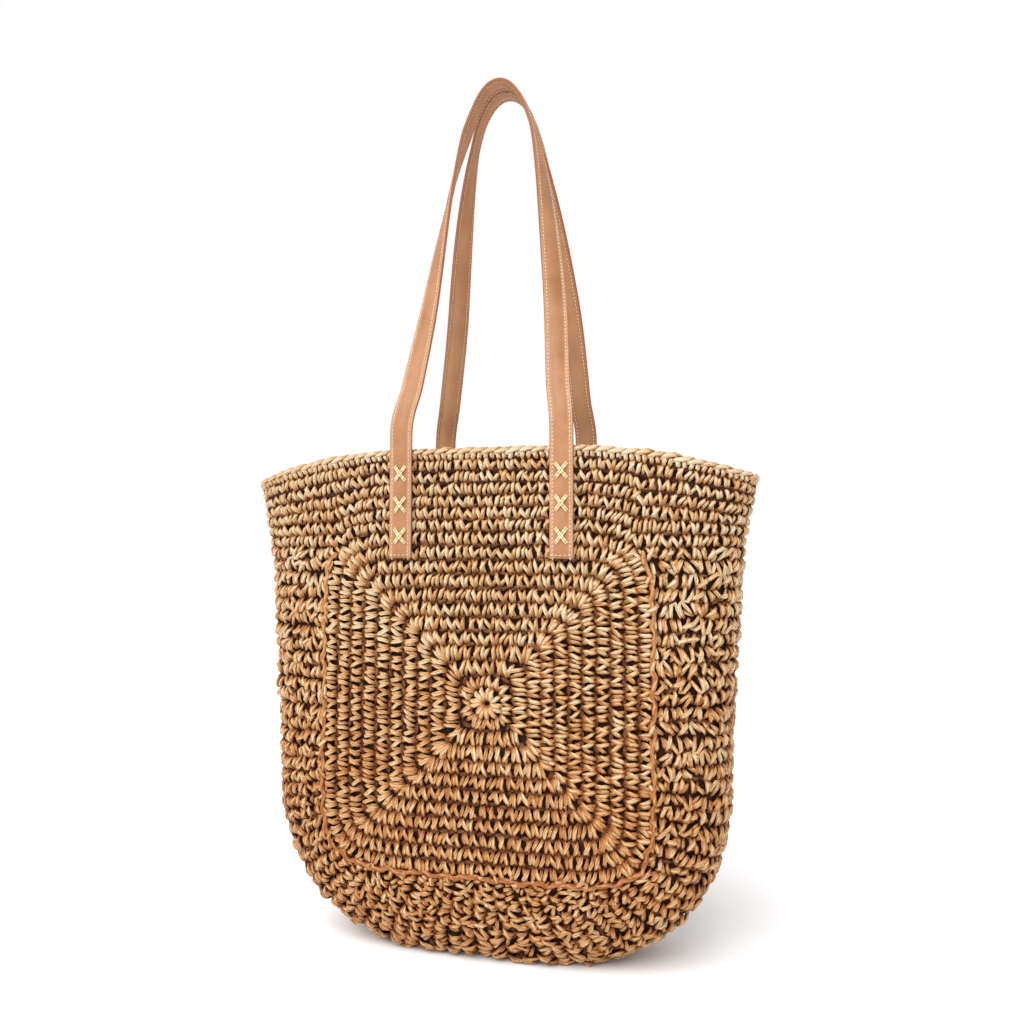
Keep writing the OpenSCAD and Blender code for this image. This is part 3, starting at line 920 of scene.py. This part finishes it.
def mouth_row(level, inset, points=420):
    """A line round the mouth, from the band's foot at 0 to its top at 1, and how wide a row is there."""
    turn = full_turn(points)
    share = squarish(np.cos(turn))
    x_low = np.abs(share) * half_w(band_side_z)
    arch = (1 - np.clip(x_low / panel_half, 0, 1) ** panel_power) ** (1 / panel_power)
    low = np.where(x_low >= corner_reach, band_side_z, panel_z + panel_half * arch)
    top = rim_z(np.abs(share)) - edging_h
    z = low + (top - low) * level
    x = share * (half_w(band_side_z, inset) + half_w(z) - half_w(low))
    return np.stack([x, half_d(z, inset) * squarish(np.sin(turn)), z], -1), (top - low) / band_rows


def even(points, width):
    """The same closed line with its points evenly spaced."""
    loop = np.concatenate([points, points[:1]])
    travel = travel_along(loop)
    stops = np.linspace(0, travel[-1], len(points) + 1)[:-1]
    spots = np.stack([np.interp(stops, travel, loop[:, k]) for k in range(3)], -1)
    return spots, np.interp(stops, travel, np.concatenate([width, width[:1]]))


def band_row(level, inset=sunk, wider=1.0):
    line, width = mouth_row(level, inset)
    rise = unit(mouth_row(level + 0.02, inset)[0] - mouth_row(level - 0.02, inset)[0])
    spots, w = even(line, width)
    nearest = np.array([np.argmin(((line - p) ** 2).sum(1)) for p in spots])
    out = np.cross(line_along(spots, True), rise[nearest])
    return row_from(spots, out, True, w * wider)


band = [rolled(band_row((j + 0.5) / band_rows, wider=band_fuller), 11 * j) for j in range(band_rows)]
crocheted("mouth_band_crochet", band, "mouth_band", panel_stitches, 31)
inner = [turned_in(band_row((j + 0.5) / band_rows, inner_in))
         for j in range(band_rows - inner_rows, band_rows)]
crocheted("mouth_band_inside", inner, None, panel_stitches, 37, jitter=0.2)
crocheted("rim_edging_crochet", [band_row(1 + edging_level / band_rows)], "rim_edging", edging_stitches, 34,
          step=9.6 * MM, turn=0.06, jitter=0.2, material=straw_edging)

# %% [markdown]
# ## The dark inner layer
# Between the stitches of a real bag there is more straw, in deep shade. A thin sheet just
# under the stitches stands for it, so no light shines through where none should, and its
# colour is painted near black as painted shade.

# %% Inner layer
web_in = 3.4 * MM
web_t = 0.8 * MM
web_rings = 14
web_top = 1.085            # the layer's upper edge, which lies behind the edging


def inner_layer(name, lines, closed):
    web = thicken(grid_mesh(name, lines, closed, painted_shade_web, inside_point), web_t)
    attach(web, "bag")
    print(name, len(web.data.polygons), "faces")


for side, sign in (("front", -1), ("back", 1)):
    rings = []
    for ring in range(web_rings):
        x, up = rounded_square(-full_turn(96), panel_half * max(0.012, ring / (web_rings - 1)), panel_power)
        rings.append(np.stack([x, sign * wall_y(x, panel_z + up, web_in), panel_z + up], -1))
    inner_layer(f"{side}_panel_web", rings, True)
lines = [gusset_line(a, web_in, 17) for a in np.linspace(gusset_from, gusset_to, 109)]
inner_layer("gusset_web", lines, False)
lines = [mouth_row(level, web_in, 120)[0] for level in np.linspace(0, web_top, 8)]
inner_layer("mouth_band_web", lines, True)

# %% [markdown]
# ## The strand along each seam
# A single strand is worked over each seam in slip stitches, so it runs in small waves on
# top of everything else.

# %% Seam strands
tube_sides = 8
seam_lift = 1.0 * MM


def tube(name, path, radii, material, up):
    """A tube through points in metres. Its UV map runs once round it, and along it in millimetres."""
    along = line_along(path, False)
    ups = unit(square_to(np.broadcast_to(up, path.shape), along))
    side = np.cross(along, ups)
    turn = (np.arange(tube_sides) * 2 * math.pi / tube_sides)[None, :, None]
    radii = np.broadcast_to(radii, len(path))[:, None, None]
    rings = path[:, None] + radii * (side[:, None] * np.cos(turn) + ups[:, None] * np.sin(turn))
    skins = [skin(rings, np.arange(tube_sides + 1) / tube_sides, travel_along(path) / MM)]
    return link(name, skinned_mesh(name, skins), material)


def seam_path(points=900):
    angle = np.linspace(0.76 * math.pi, 2.24 * math.pi, points)
    x, up = rounded_square(angle, panel_half, panel_power)
    z = panel_z + up
    spot = np.stack([x, -wall_y(x, z, -seam_lift), z], -1)
    out = front_normal(x, z, 0.0)
    across = np.cross(out, line_along(spot, False))
    travel = travel_along(spot)
    wave = travel / (23 * MM) * 2 * math.pi
    slow = np.sin(travel / (41 * MM) * 2 * math.pi) + np.sin(travel / (67 * MM) * 2 * math.pi + 1)
    sway = np.sin(wave + 0.9 * slow) + 0.4 * np.sin(2.3 * wave + 1.0)
    spot = spot + across * (1.0 * MM * sway)[:, None] + out * (0.45 * MM * np.cos(wave * 1.6))[:, None]
    return spot, (1.7 + 0.25 * np.sin(wave * 1.9 + 2.0) + 0.1 * slow) * MM, out


seam_spots, seam_radius, seam_out = seam_path()
for side, way in (("front", 1), ("back", -1)):
    flip = np.array([way, way, 1])
    chain = tube(f"{side}_seam_strand", seam_spots * flip, seam_radius, straw, seam_out * flip)
    count = len(chain.data.vertices)
    # high sets the painted shade and painted highlight that the straw gives the strand: at 1 it is almost
    # free of painted shade.
    store(chain.data, "high", np.full(count, 1.0))
    store(chain.data, "shade", np.full(count, 0.55))
    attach(chain, "bag")
    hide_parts(f"{side}_seam_chain")
print(f"seam strand {travel_along(seam_spots)[-1]:.2f} m long")

# %% [markdown]
# ## The handles
# A handle is a long strap of two leather layers over a soft filler, so its middle is
# raised between two rows of stitching. It is built by sliding one cross section along the
# strap's path. The strap is sewn to the bag below the rim and swings above it, and its
# path eases from the flat leg into the arch without a kink.

# %% Strap path
strap_w = 18 * MM
leather_t = 1.2 * MM
filler_half_t = 0.9 * MM
filler_half_w = 5.5 * MM
strap_spacing = 126 * MM
handle_rise = 299 * MM
handle_lean = 4.5 * MM
handle_gap = 1.2 * MM
strap_end_l = 85 * MM
bend_below_rim = 7 * MM
edging_proud = 1.2 * MM
strap_clear = 0.3 * MM
strap_half_t = leather_t + filler_half_t
leg_x = strap_spacing / 2
bend_z = bag_h - bend_below_rim
sewn_z = bend_z - 9 * MM       # below this height the strap lies flat on the straw
curve_base = bag_h + 6 * MM
curve_h = bag_h + handle_rise - curve_base
arch_y = -(strap_w + handle_gap) / 2
forward = np.array([0.0, -1.0, 0.0])


def strap_y(z):
    return -(wall_y(leg_x, min(z, bag_h)) + edging_proud + strap_clear + strap_half_t)


def bezier(a, b, c, d, t):
    return a * (1 - t) ** 3 + 3 * b * (1 - t) ** 2 * t + 3 * c * (1 - t) * t * t + d * t**3


def curve_point(way, t):
    """A point of the free curve above the rim. It leaves the straight leg without a kink."""
    rise = bezier(0, 0.46, 1, 1, t)
    eased = float(smooth(rise / 0.14))
    x = leg_x + (bezier(leg_x, leg_x * 0.72, leg_x * 0.6, 0, t) - leg_x) * eased
    y = strap_y(bag_h) + (arch_y - strap_y(bag_h)) * min(1, 1.08 * rise) * eased
    return np.array([way * x + handle_lean * float(smooth(rise / 0.42)), y, curve_base + curve_h * rise])


def curve_frame(way, t):
    """The strap turns a quarter about itself on its way up, so the two handles' tops lie side by side."""
    e = 0.004
    here = curve_point(way, t)
    along = -way * unit(curve_point(way, min(1, t + e)) - curve_point(way, max(0, t - e)))
    share = min(1, max(0, (here[2] - curve_base - 10 * MM) / (0.82 * curve_h)))
    turn = math.radians(90) * share**1.4
    wish = np.array([-way * math.cos(turn), -math.sin(turn), 0])
    across = unit(wish - along * wish.dot(along))
    return here, across, np.cross(across, along)


def leg_frames(way):
    """Frames up one leg, from the sewn end to the top: each is a point, across and outwards."""
    heights = [bag_h - strap_end_l + k * 2 * MM for k in range(36)]
    heights = [z for z in heights if z < sewn_z] + list(np.linspace(sewn_z, curve_base, 16))
    across = np.array([-way, 0.0, 0.0])
    straight = [(np.array([way * leg_x, strap_y(z), z]), across, forward) for z in heights]
    return straight + [curve_frame(way, t) for t in np.linspace(0.012, 0.985, 62)]


top_frame = (np.array([handle_lean, arch_y, bag_h + handle_rise]), forward, np.array([0.0, 0.0, 1.0]))
strap_frames = leg_frames(-1) + [top_frame] + leg_frames(1)[::-1]
print("strap", len(strap_frames), "sections")

# %% Strap layers
stitch_inset = 2.4 * MM
cross_downs = (20, 44, 68)     # how far the crosses lie below the rim, in millimetres
swell_downs = (32, 56)
outer_stops = (0.15, 0.3, 0.45, 0.57, 0.66, 0.73, 0.8, 0.88, 0.95, 0.985, 1)
rounding = {1: 0.45, 0.985: 0.75, 0.95: 0.94}      # the leather's thickness near its rounded edge


def pad(across):
    return filler_half_t * max(0.0, 1 - (across / filler_half_w) ** 2) ** 1.2


def groove(across):
    """The stitching pulls a shallow channel into the leather."""
    off = (abs(across) - (strap_w / 2 - stitch_inset)) / (0.9 * MM)
    return 0.22 * MM * math.exp(-off * off)


def layer_outline(side, puff=1.0):
    """The closed outline of one leather layer, from its inner face over its rounded edge."""
    half = strap_w / 2
    inner = [(s * half * 0.99, side * pad(s * half)) for s in (-1, -0.6, -0.3, 0, 0.3, 0.6, 1)]
    outer = []
    for s in (*outer_stops[::-1], 0, *(-s for s in outer_stops)):
        leather_here = leather_t * rounding.get(abs(s), 1.0)
        outer.append((s * half, side * (puff * pad(s * half) + leather_here - groove(s * half))))
    return (inner + outer)[::side]


def puff_at(z):
    """How much the face is puffed up at a height: the crosses pull it in and it swells between them."""
    if z > sewn_z:
        return 1.0

    def near(downs, reach):
        return sum(math.exp(-(((z - (bag_h - down * MM)) / (reach * MM)) ** 2)) for down in downs)

    closed = smooth((z - bag_h + strap_end_l - 2 * MM) / (10 * MM))
    return float(closed * (1 - 0.75 * near(cross_downs, 5.5) + 0.45 * near(swell_downs, 6.0)))


def filler_outline():
    across = [filler_half_w * math.cos(a) for a in full_turn(16)]
    return [(u, pad(u) * math.copysign(1, math.sin(a)) * 0.97) for u, a in zip(across, full_turn(16))]


def swept(name, outline_at, frames, material, mirror):
    """Slides an outline along frames. mirror is 1, or -1 for the back of the bag."""
    flip = np.array([1, mirror, 1])
    rings = np.array([[(p + a * u + o * v) * flip for u, v in outline_at(p[2])] for p, a, o in frames])
    across = np.array([u for u, _ in outline_at(bag_h)])
    skins = [skin(rings, np.append(across, across[0]) / MM, travel_along(rings[:, 0]) / MM)]
    mesh = skinned_mesh(name, skins)
    faces_out(mesh)
    return link(name, mesh, material)


# %% Leather


def leather_material(name, colours, worn, painted, roughness):
    """Smooth leather with fine pores, lighter where it is worn, with a darker painted edge."""
    m = Shader(name, roughness, Specular_IOR_Level=0.4)
    across, _, _ = m.split(m.place("UV"))
    pores = m.node("ShaderNodeTexVoronoi", {"Vector": m.place(), "Scale": 1500.0})
    cloud = m.noise(38.0)
    fine = m.noise(700.0, 2.0)
    body = m.ramp(cloud * 0.75 + fine * 0.25, list(zip((0.3, 0.52, 0.75), colours)))
    edge = m.range(across.size(), 8.35, 8.85)
    rub = m.range(across.size(), 4.4, 6.4) * m.range(m.noise(160.0, 2.0), 0.2, 0.6, 0.6, 1.0)
    colour = m.mix(edge, m.mix(rub * 0.6, body, worn), painted)
    return m.finish(colour, m.range(cloud, 0.3, 0.7, roughness - 0.06, roughness + 0.08),
                    pores * 0.5 + fine * 0.4 + cloud * 0.5, 0.22, 0.4 * MM)


edge_paint = (0.30, 0.10, 0.042)
tans = [(0.29, 0.122, 0.048), (0.37, 0.168, 0.072), (0.45, 0.215, 0.098)]
back_tans = [(0.34, 0.155, 0.066), (0.42, 0.198, 0.088), (0.48, 0.24, 0.112)]
leather = leather_material("strap_leather", tans, (0.56, 0.31, 0.175), edge_paint, 0.42)
leather_back = leather_material("strap_backing", back_tans, (0.38, 0.165, 0.072), edge_paint, 0.5)
felt_shader = Shader("strap_filler", 0.9)
felt = felt_shader.finish(felt_shader.ramp(felt_shader.noise(500.0), [(0.3, (0.3, 0.22, 0.15)),
                                                                      (0.7, (0.5, 0.4, 0.3))]))

# %% Straps
both_sides = (("front", 1), ("back", -1))
layers = (("face", lambda z: layer_outline(1, puff_at(z)), leather, "strap_leather"),
          ("backing", lambda z: layer_outline(-1), leather_back, "strap_backing"),
          ("filler", lambda z: filler_outline(), felt, "strap_filler"))
for side, mirror in both_sides:
    for layer, outline_at, material, slot in layers:
        strap = swept(f"{side}_strap_{layer}", outline_at, strap_frames, material, mirror)
        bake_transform(strap)
        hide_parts(f"{side}_left_end_{layer}", f"{side}_right_end_{layer}", f"{side}_handle_{layer}")
        print(strap.name, len(strap.data.polygons), "faces")

# %% [markdown]
# ## Sewing
# The edge stitching is one small thread stitch repeated along both edges of the strap, on
# both faces. The tree is the one that crochets, with another shape and a shorter step.

# %% Thread


def thread_material(name, low, high):
    """Waxed thread of twisted plies."""
    m = Shader(name, 0.55)
    round_, along, _ = m.split(m.place("UV"))
    ply = (round_ * (2 * math.pi) + along * 2.2).sine()
    colour = m.ramp(m.noise(300.0) * 0.6 + ply * 0.2 + 0.2, [(0.3, low), (0.7, high)])
    return m.finish(colour, None, ply, 0.5, 0.3 * MM)


edge_thread = thread_material("edge_thread", (0.50, 0.33, 0.19), (0.86, 0.70, 0.50))
cross_thread = thread_material("cross_thread", (0.66, 0.44, 0.21), (0.90, 0.76, 0.50))
edge_stitch_l = 2.9 * MM
stitch_w = 1 * MM


def edge_stitch():
    path = [(x, 0, h) for x, h in ((-1.15, 0.05), (-0.85, 0.32), (0, 0.42), (0.85, 0.32), (1.15, 0.05))]
    return [(path, [0.18, 0.3, 0.34, 0.3, 0.18])]


edge_stitches = stitch_set("edge_stitches", [edge_stitch])


def edge_rows(mirror):
    flip = np.array([1, mirror, 1])
    rows = []
    for side in (1, -1):
        for edge in (-1, 1):
            u = edge * (strap_w / 2 - stitch_inset)
            v = side * (leather_t - groove(u) + pad(u))
            points = np.array([(p + a * u + o * v) * flip for p, a, o in strap_frames])
            out = np.array([o * side * flip for p, a, o in strap_frames])
            rows.append(row_from(points, out, False, stitch_w))
    return rows


def end_rows(mirror):
    """The row of stitches across each end of the strap."""
    flip = np.array([1, mirror, 1])
    z = bag_h - strap_end_l + stitch_inset
    u = np.linspace(-1, 1, 25) * (strap_w / 2 - stitch_inset)
    lift = np.array([leather_t + pad(a) for a in u])
    rows = []
    for way in (-1, 1):
        points = np.stack([way * leg_x + u, strap_y(z) - lift, np.full_like(u, z)], -1)
        rows.append(row_from(points * flip, np.tile(forward, (len(u), 1)) * flip, False, stitch_w))
    return rows


for side, mirror in both_sides:
    sewn = stitched(f"{side}_strap_stitching", edge_rows(mirror) + end_rows(mirror), stitches=edge_stitches,
                    step=edge_stitch_l, width=stitch_w, turn=0.05, seed=5, material=edge_thread)
    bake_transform(sewn)
    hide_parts(f"{side}_handle_stitching")
    if side == "front":
        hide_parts("end_stitching")
    print(sewn.name, len(sewn.data.polygons), "faces")

# %% [markdown]
# Three crosses of thick waxed thread hold each strap end to the straw. Each is two strands
# that come up through the leather, cross over each other and go down again.

# %% Cross stitches
cross_half = 4.3 * MM
cross_tall = 5.6 * MM
cross_r = 0.62 * MM


def cross_strands(centre, mirror):
    """Two doubled strands that cross; the second lies over the first."""
    made = []
    for lean_way, over in ((1, 0.0), (-1, 1.0)):
        for shift in (-0.5, 0.5):
            path = []
            for t in np.linspace(-1, 1, 13):
                rise = (1 - abs(t) ** 3) * (0.75 + 0.95 * over * math.exp(-(t / 0.35) ** 2)) * MM
                path.append(centre + np.array([t * cross_half + shift * MM, -rise + 0.35 * MM * abs(t) ** 6,
                                               lean_way * (t * cross_tall - shift * MM)]))
            made.append(np.array(path) * np.array([1, mirror, 1]))
    return made


for side, mirror in both_sides:
    strands = []
    for way in (-1, 1):
        for down in cross_downs:
            z = bag_h - down * MM
            centre = np.array([way * leg_x, strap_y(z) - strap_half_t, z])
            strands += [tube("strand", path, cross_r, cross_thread, np.array([0.0, -mirror, 0.0]))
                        for path in cross_strands(centre, mirror)]
    bpy.ops.object.select_all(action="DESELECT")
    for ob in strands:
        ob.select_set(True)
    bpy.context.view_layer.objects.active = strands[0]
    bpy.ops.object.join()
    crosses = bpy.context.view_layer.objects.active
    crosses.name = f"{side}_crosses"
    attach(crosses, "bag")
    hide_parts(f"{side}_cross_stitches")
    print(crosses.name, len(strands), "strands")

# %% [markdown]
# ## The lining
# Inside hangs a dark cloth lining from its hem just under the rim. It is lofted from the
# wall's own formula a little further in, with soft folds, and holds a slip pocket.

# %% Lining


def cloth_material():
    """Plain woven cloth."""
    m = Shader("lining_cloth", 0.75, Sheen_Weight=0.2)
    x, _, z = m.split(m.place())
    weave = (x * 5200.0).sine() * (z * 5200.0).sine()
    colour = m.ramp(m.noise(60.0) * 0.7 + weave * 0.15 + 0.15, [(0.3, (0.035, 0.02, 0.013)),
                                                                (0.7, (0.075, 0.045, 0.03))])
    return m.finish(colour, None, weave, 0.15, 0.3 * MM)


cloth = cloth_material()
cloth_t = 0.5 * MM
lining_in = wall_t + 3 * MM
lining_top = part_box("lining")[1].z
lining_cols = 160


def lining_ring(level):
    turn = full_turn(lining_cols)
    z = lining_in + (lining_top - lining_in) * level
    down = corner_share(z, lining_in)
    x = half_w(z, lining_in) * (1 - down**corner_power) ** (1 / corner_power) * squarish(np.cos(turn))
    fold = 0.6 + 0.5 * np.sin(9 * turn + 3 * math.sin(4 * level)) + 0.4 * np.sin(23 * turn + 6 * level)
    ease = 1 - 0.006 * fold * math.sin(math.pi * min(1, level * 1.02)) ** 0.6
    y = np.sign(np.sin(turn)) * wall_y(x, z, lining_in) * ease
    return np.stack([x * ease, y, np.full_like(x, z)], -1)


rings = [lining_ring(level) for level in np.concatenate([[0.0], np.linspace(0.02, 1, 40) ** 1.35])]
floor_rings = [rings[0] * np.array([k, k, 1]) for k in (0.02, 0.3, 0.65)]
lining = thicken(grid_mesh("lining_cloth", floor_rings + rings, True, cloth, inside_point), cloth_t)
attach(lining, "bag")
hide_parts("lining")
print(f"lining: {sum(p.area for p in lining.data.polygons) / 2:.4f} square metres of cloth")

# %% Slip pocket
pocket_low, pocket_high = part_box("pocket")
pocket_cols, pocket_rows = 33, 21
pocket_gape = 2.2 * MM
spots = []
for r in range(pocket_rows):
    z = pocket_high.z + (pocket_low.z - pocket_high.z) * r / (pocket_rows - 1)
    x = np.linspace(pocket_low.x, pocket_high.x, pocket_cols)
    bow = np.cos(np.linspace(-1, 1, pocket_cols) * math.pi / 2)
    gape = pocket_gape * (1 - r / (pocket_rows - 1)) ** 2 * bow
    spots.append(np.stack([x, wall_y(x, z, lining_in + 1.3 * MM) - gape, np.full_like(x, z)], -1))
pocket = thicken(grid_mesh("slip_pocket", spots, False, cloth), cloth_t)
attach(pocket, "bag")
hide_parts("pocket")
print("pocket gapes", round(pocket_gape / MM, 1), "mm")

# %% [markdown]
# The snap's halves are small turned buttons. They are lathed from a profile, which gives
# the rolled rim and the stud that a plain disc lacks.

# %% Snap


def metal_material():
    m = Shader("snap_metal", 0.32, Metallic=1.0)
    scratch = m.noise(240.0)
    colour = m.ramp(scratch, [(0.35, (0.36, 0.27, 0.13)), (0.65, (0.60, 0.48, 0.27))])
    return m.finish(colour, m.range(scratch, 0.3, 0.7, 0.26, 0.42))


brass = metal_material()


def lathe(name, profile, centre, facing, material, steps=40):
    """Turns a profile of (radius, height) about the Y direction. facing is 1 or -1."""
    a = full_turn(steps)
    rings = [np.stack([centre[0] + radius * MM * np.cos(a), np.full(steps, centre[1] + facing * height * MM),
                       centre[2] + radius * MM * np.sin(a)], -1) for radius, height in profile]
    return grid_mesh(name, rings, True, material, centre)


snap_foot = [(0.01, 0), (8.4, 0), (9, 0.5), (9, 1.6)]
stud = snap_foot + [(8.3, 2.4), (7.2, 2.3), (6.6, 1.9), (4.7, 1.9), (4.5, 2.6), (4.4, 4.0), (3.9, 4.6),
                    (0.01, 4.6)]
socket = snap_foot + [(8.3, 2.5), (7.2, 2.6), (5.2, 2.4), (4.9, 1.9), (4.6, 0.8), (0.01, 0.8)]
for node, facing, profile in (("snap_stud", 1, stud), ("snap_socket", -1, socket)):
    low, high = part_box(node)
    wall_side = low.y if facing > 0 else high.y
    snap = lathe(node + "_turned", profile, (0, wall_side, (low.z + high.z) / 2), facing, brass)
    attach(snap, "bag")
    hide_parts(node)
    print(snap.name, len(snap.data.polygons), "faces")

# %% [markdown]
# ## Floor, light and camera
# A pale floor, one very soft sun from the upper left and a bright surround give the even
# light of a product picture. The camera sees plain white where it looks past the floor.

# %% Floor
floor_reach = 6.0
floor_mesh = bpy.data.meshes.new("floor")
corners = [(x * floor_reach, y * floor_reach, 0) for x, y in ((-1, -1), (1, -1), (1, 1), (-1, 1))]
floor_mesh.from_pydata(corners, [], [(0, 1, 2, 3)])
floor_paper = Shader("floor_paper", 0.9, Specular_IOR_Level=0.1, Base_Color=(0.93, 0.93, 0.935))
floor = link("floor", floor_mesh, floor_paper.material)
print("floor", 2 * floor_reach, "m wide")

# %% Light
white = (1.0, 1.0, 1.0)
surround_power = 0.78
sun_power = 3.2
sun_softness = math.radians(62)
sun_direction = Vector((0.30, 0.80, -1.05))

world = bpy.data.worlds.new("studio")
scene.world = world
world.use_nodes = True
studio = Nodes(world.node_tree)
surround = world.node_tree.nodes["Background"]
studio.feed(surround.inputs["Color"], white)
studio.feed(surround.inputs["Strength"], surround_power)
backdrop = studio.node("ShaderNodeBackground", {"Color": white, "Strength": 1.0})
seen = studio.node("ShaderNodeLightPath", output="Is Camera Ray")
shown = studio.node("ShaderNodeMixShader", {0: seen, 1: Sock(studio, surround.outputs[0]), 2: backdrop})
studio.feed(world.node_tree.nodes["World Output"].inputs[0], shown)
scene.view_settings.view_transform = "Standard"

sun_data = bpy.data.lights.new("key", "SUN")
sun_data.angle = sun_softness
sun_data.energy = sun_power
sun = bpy.data.objects.new("key", sun_data)
scene.collection.objects.link(sun)
sun.rotation_euler = sun_direction.to_track_quat("-Z", "Y").to_euler()
print("sun", sun_power, "and surround", surround_power)

# %% Camera
camera_yaw = math.radians(14.54)
camera_pitch = math.radians(-2.21)
camera_far = 0.7434
camera_side = 0.0112
camera_high = 0.3112
camera_data = bpy.data.cameras.new("camera")
camera_data.sensor_width = 36
camera_data.lens = 32.35
camera_data.clip_start = 0.01
camera = bpy.data.objects.new("camera", camera_data)
scene.collection.objects.link(camera)
c, s = math.cos(camera_yaw), math.sin(camera_yaw)
camera.location = (camera_side * c + camera_far * s, camera_side * s - camera_far * c, camera_high)
looking = Vector((-s * math.cos(camera_pitch), c * math.cos(camera_pitch), -math.sin(camera_pitch)))
camera.rotation_euler = looking.to_track_quat("-Z", "Y").to_euler()
scene.camera = camera
print("camera at", [round(v, 3) for v in camera.location])

# %% Clear the stitch shapes
for collection in (panel_stitches, petals, gusset_stitches, edging_stitches, edge_stitches):
    for ob in list(collection.objects):
        bpy.data.objects.remove(ob)
    bpy.data.collections.remove(collection)
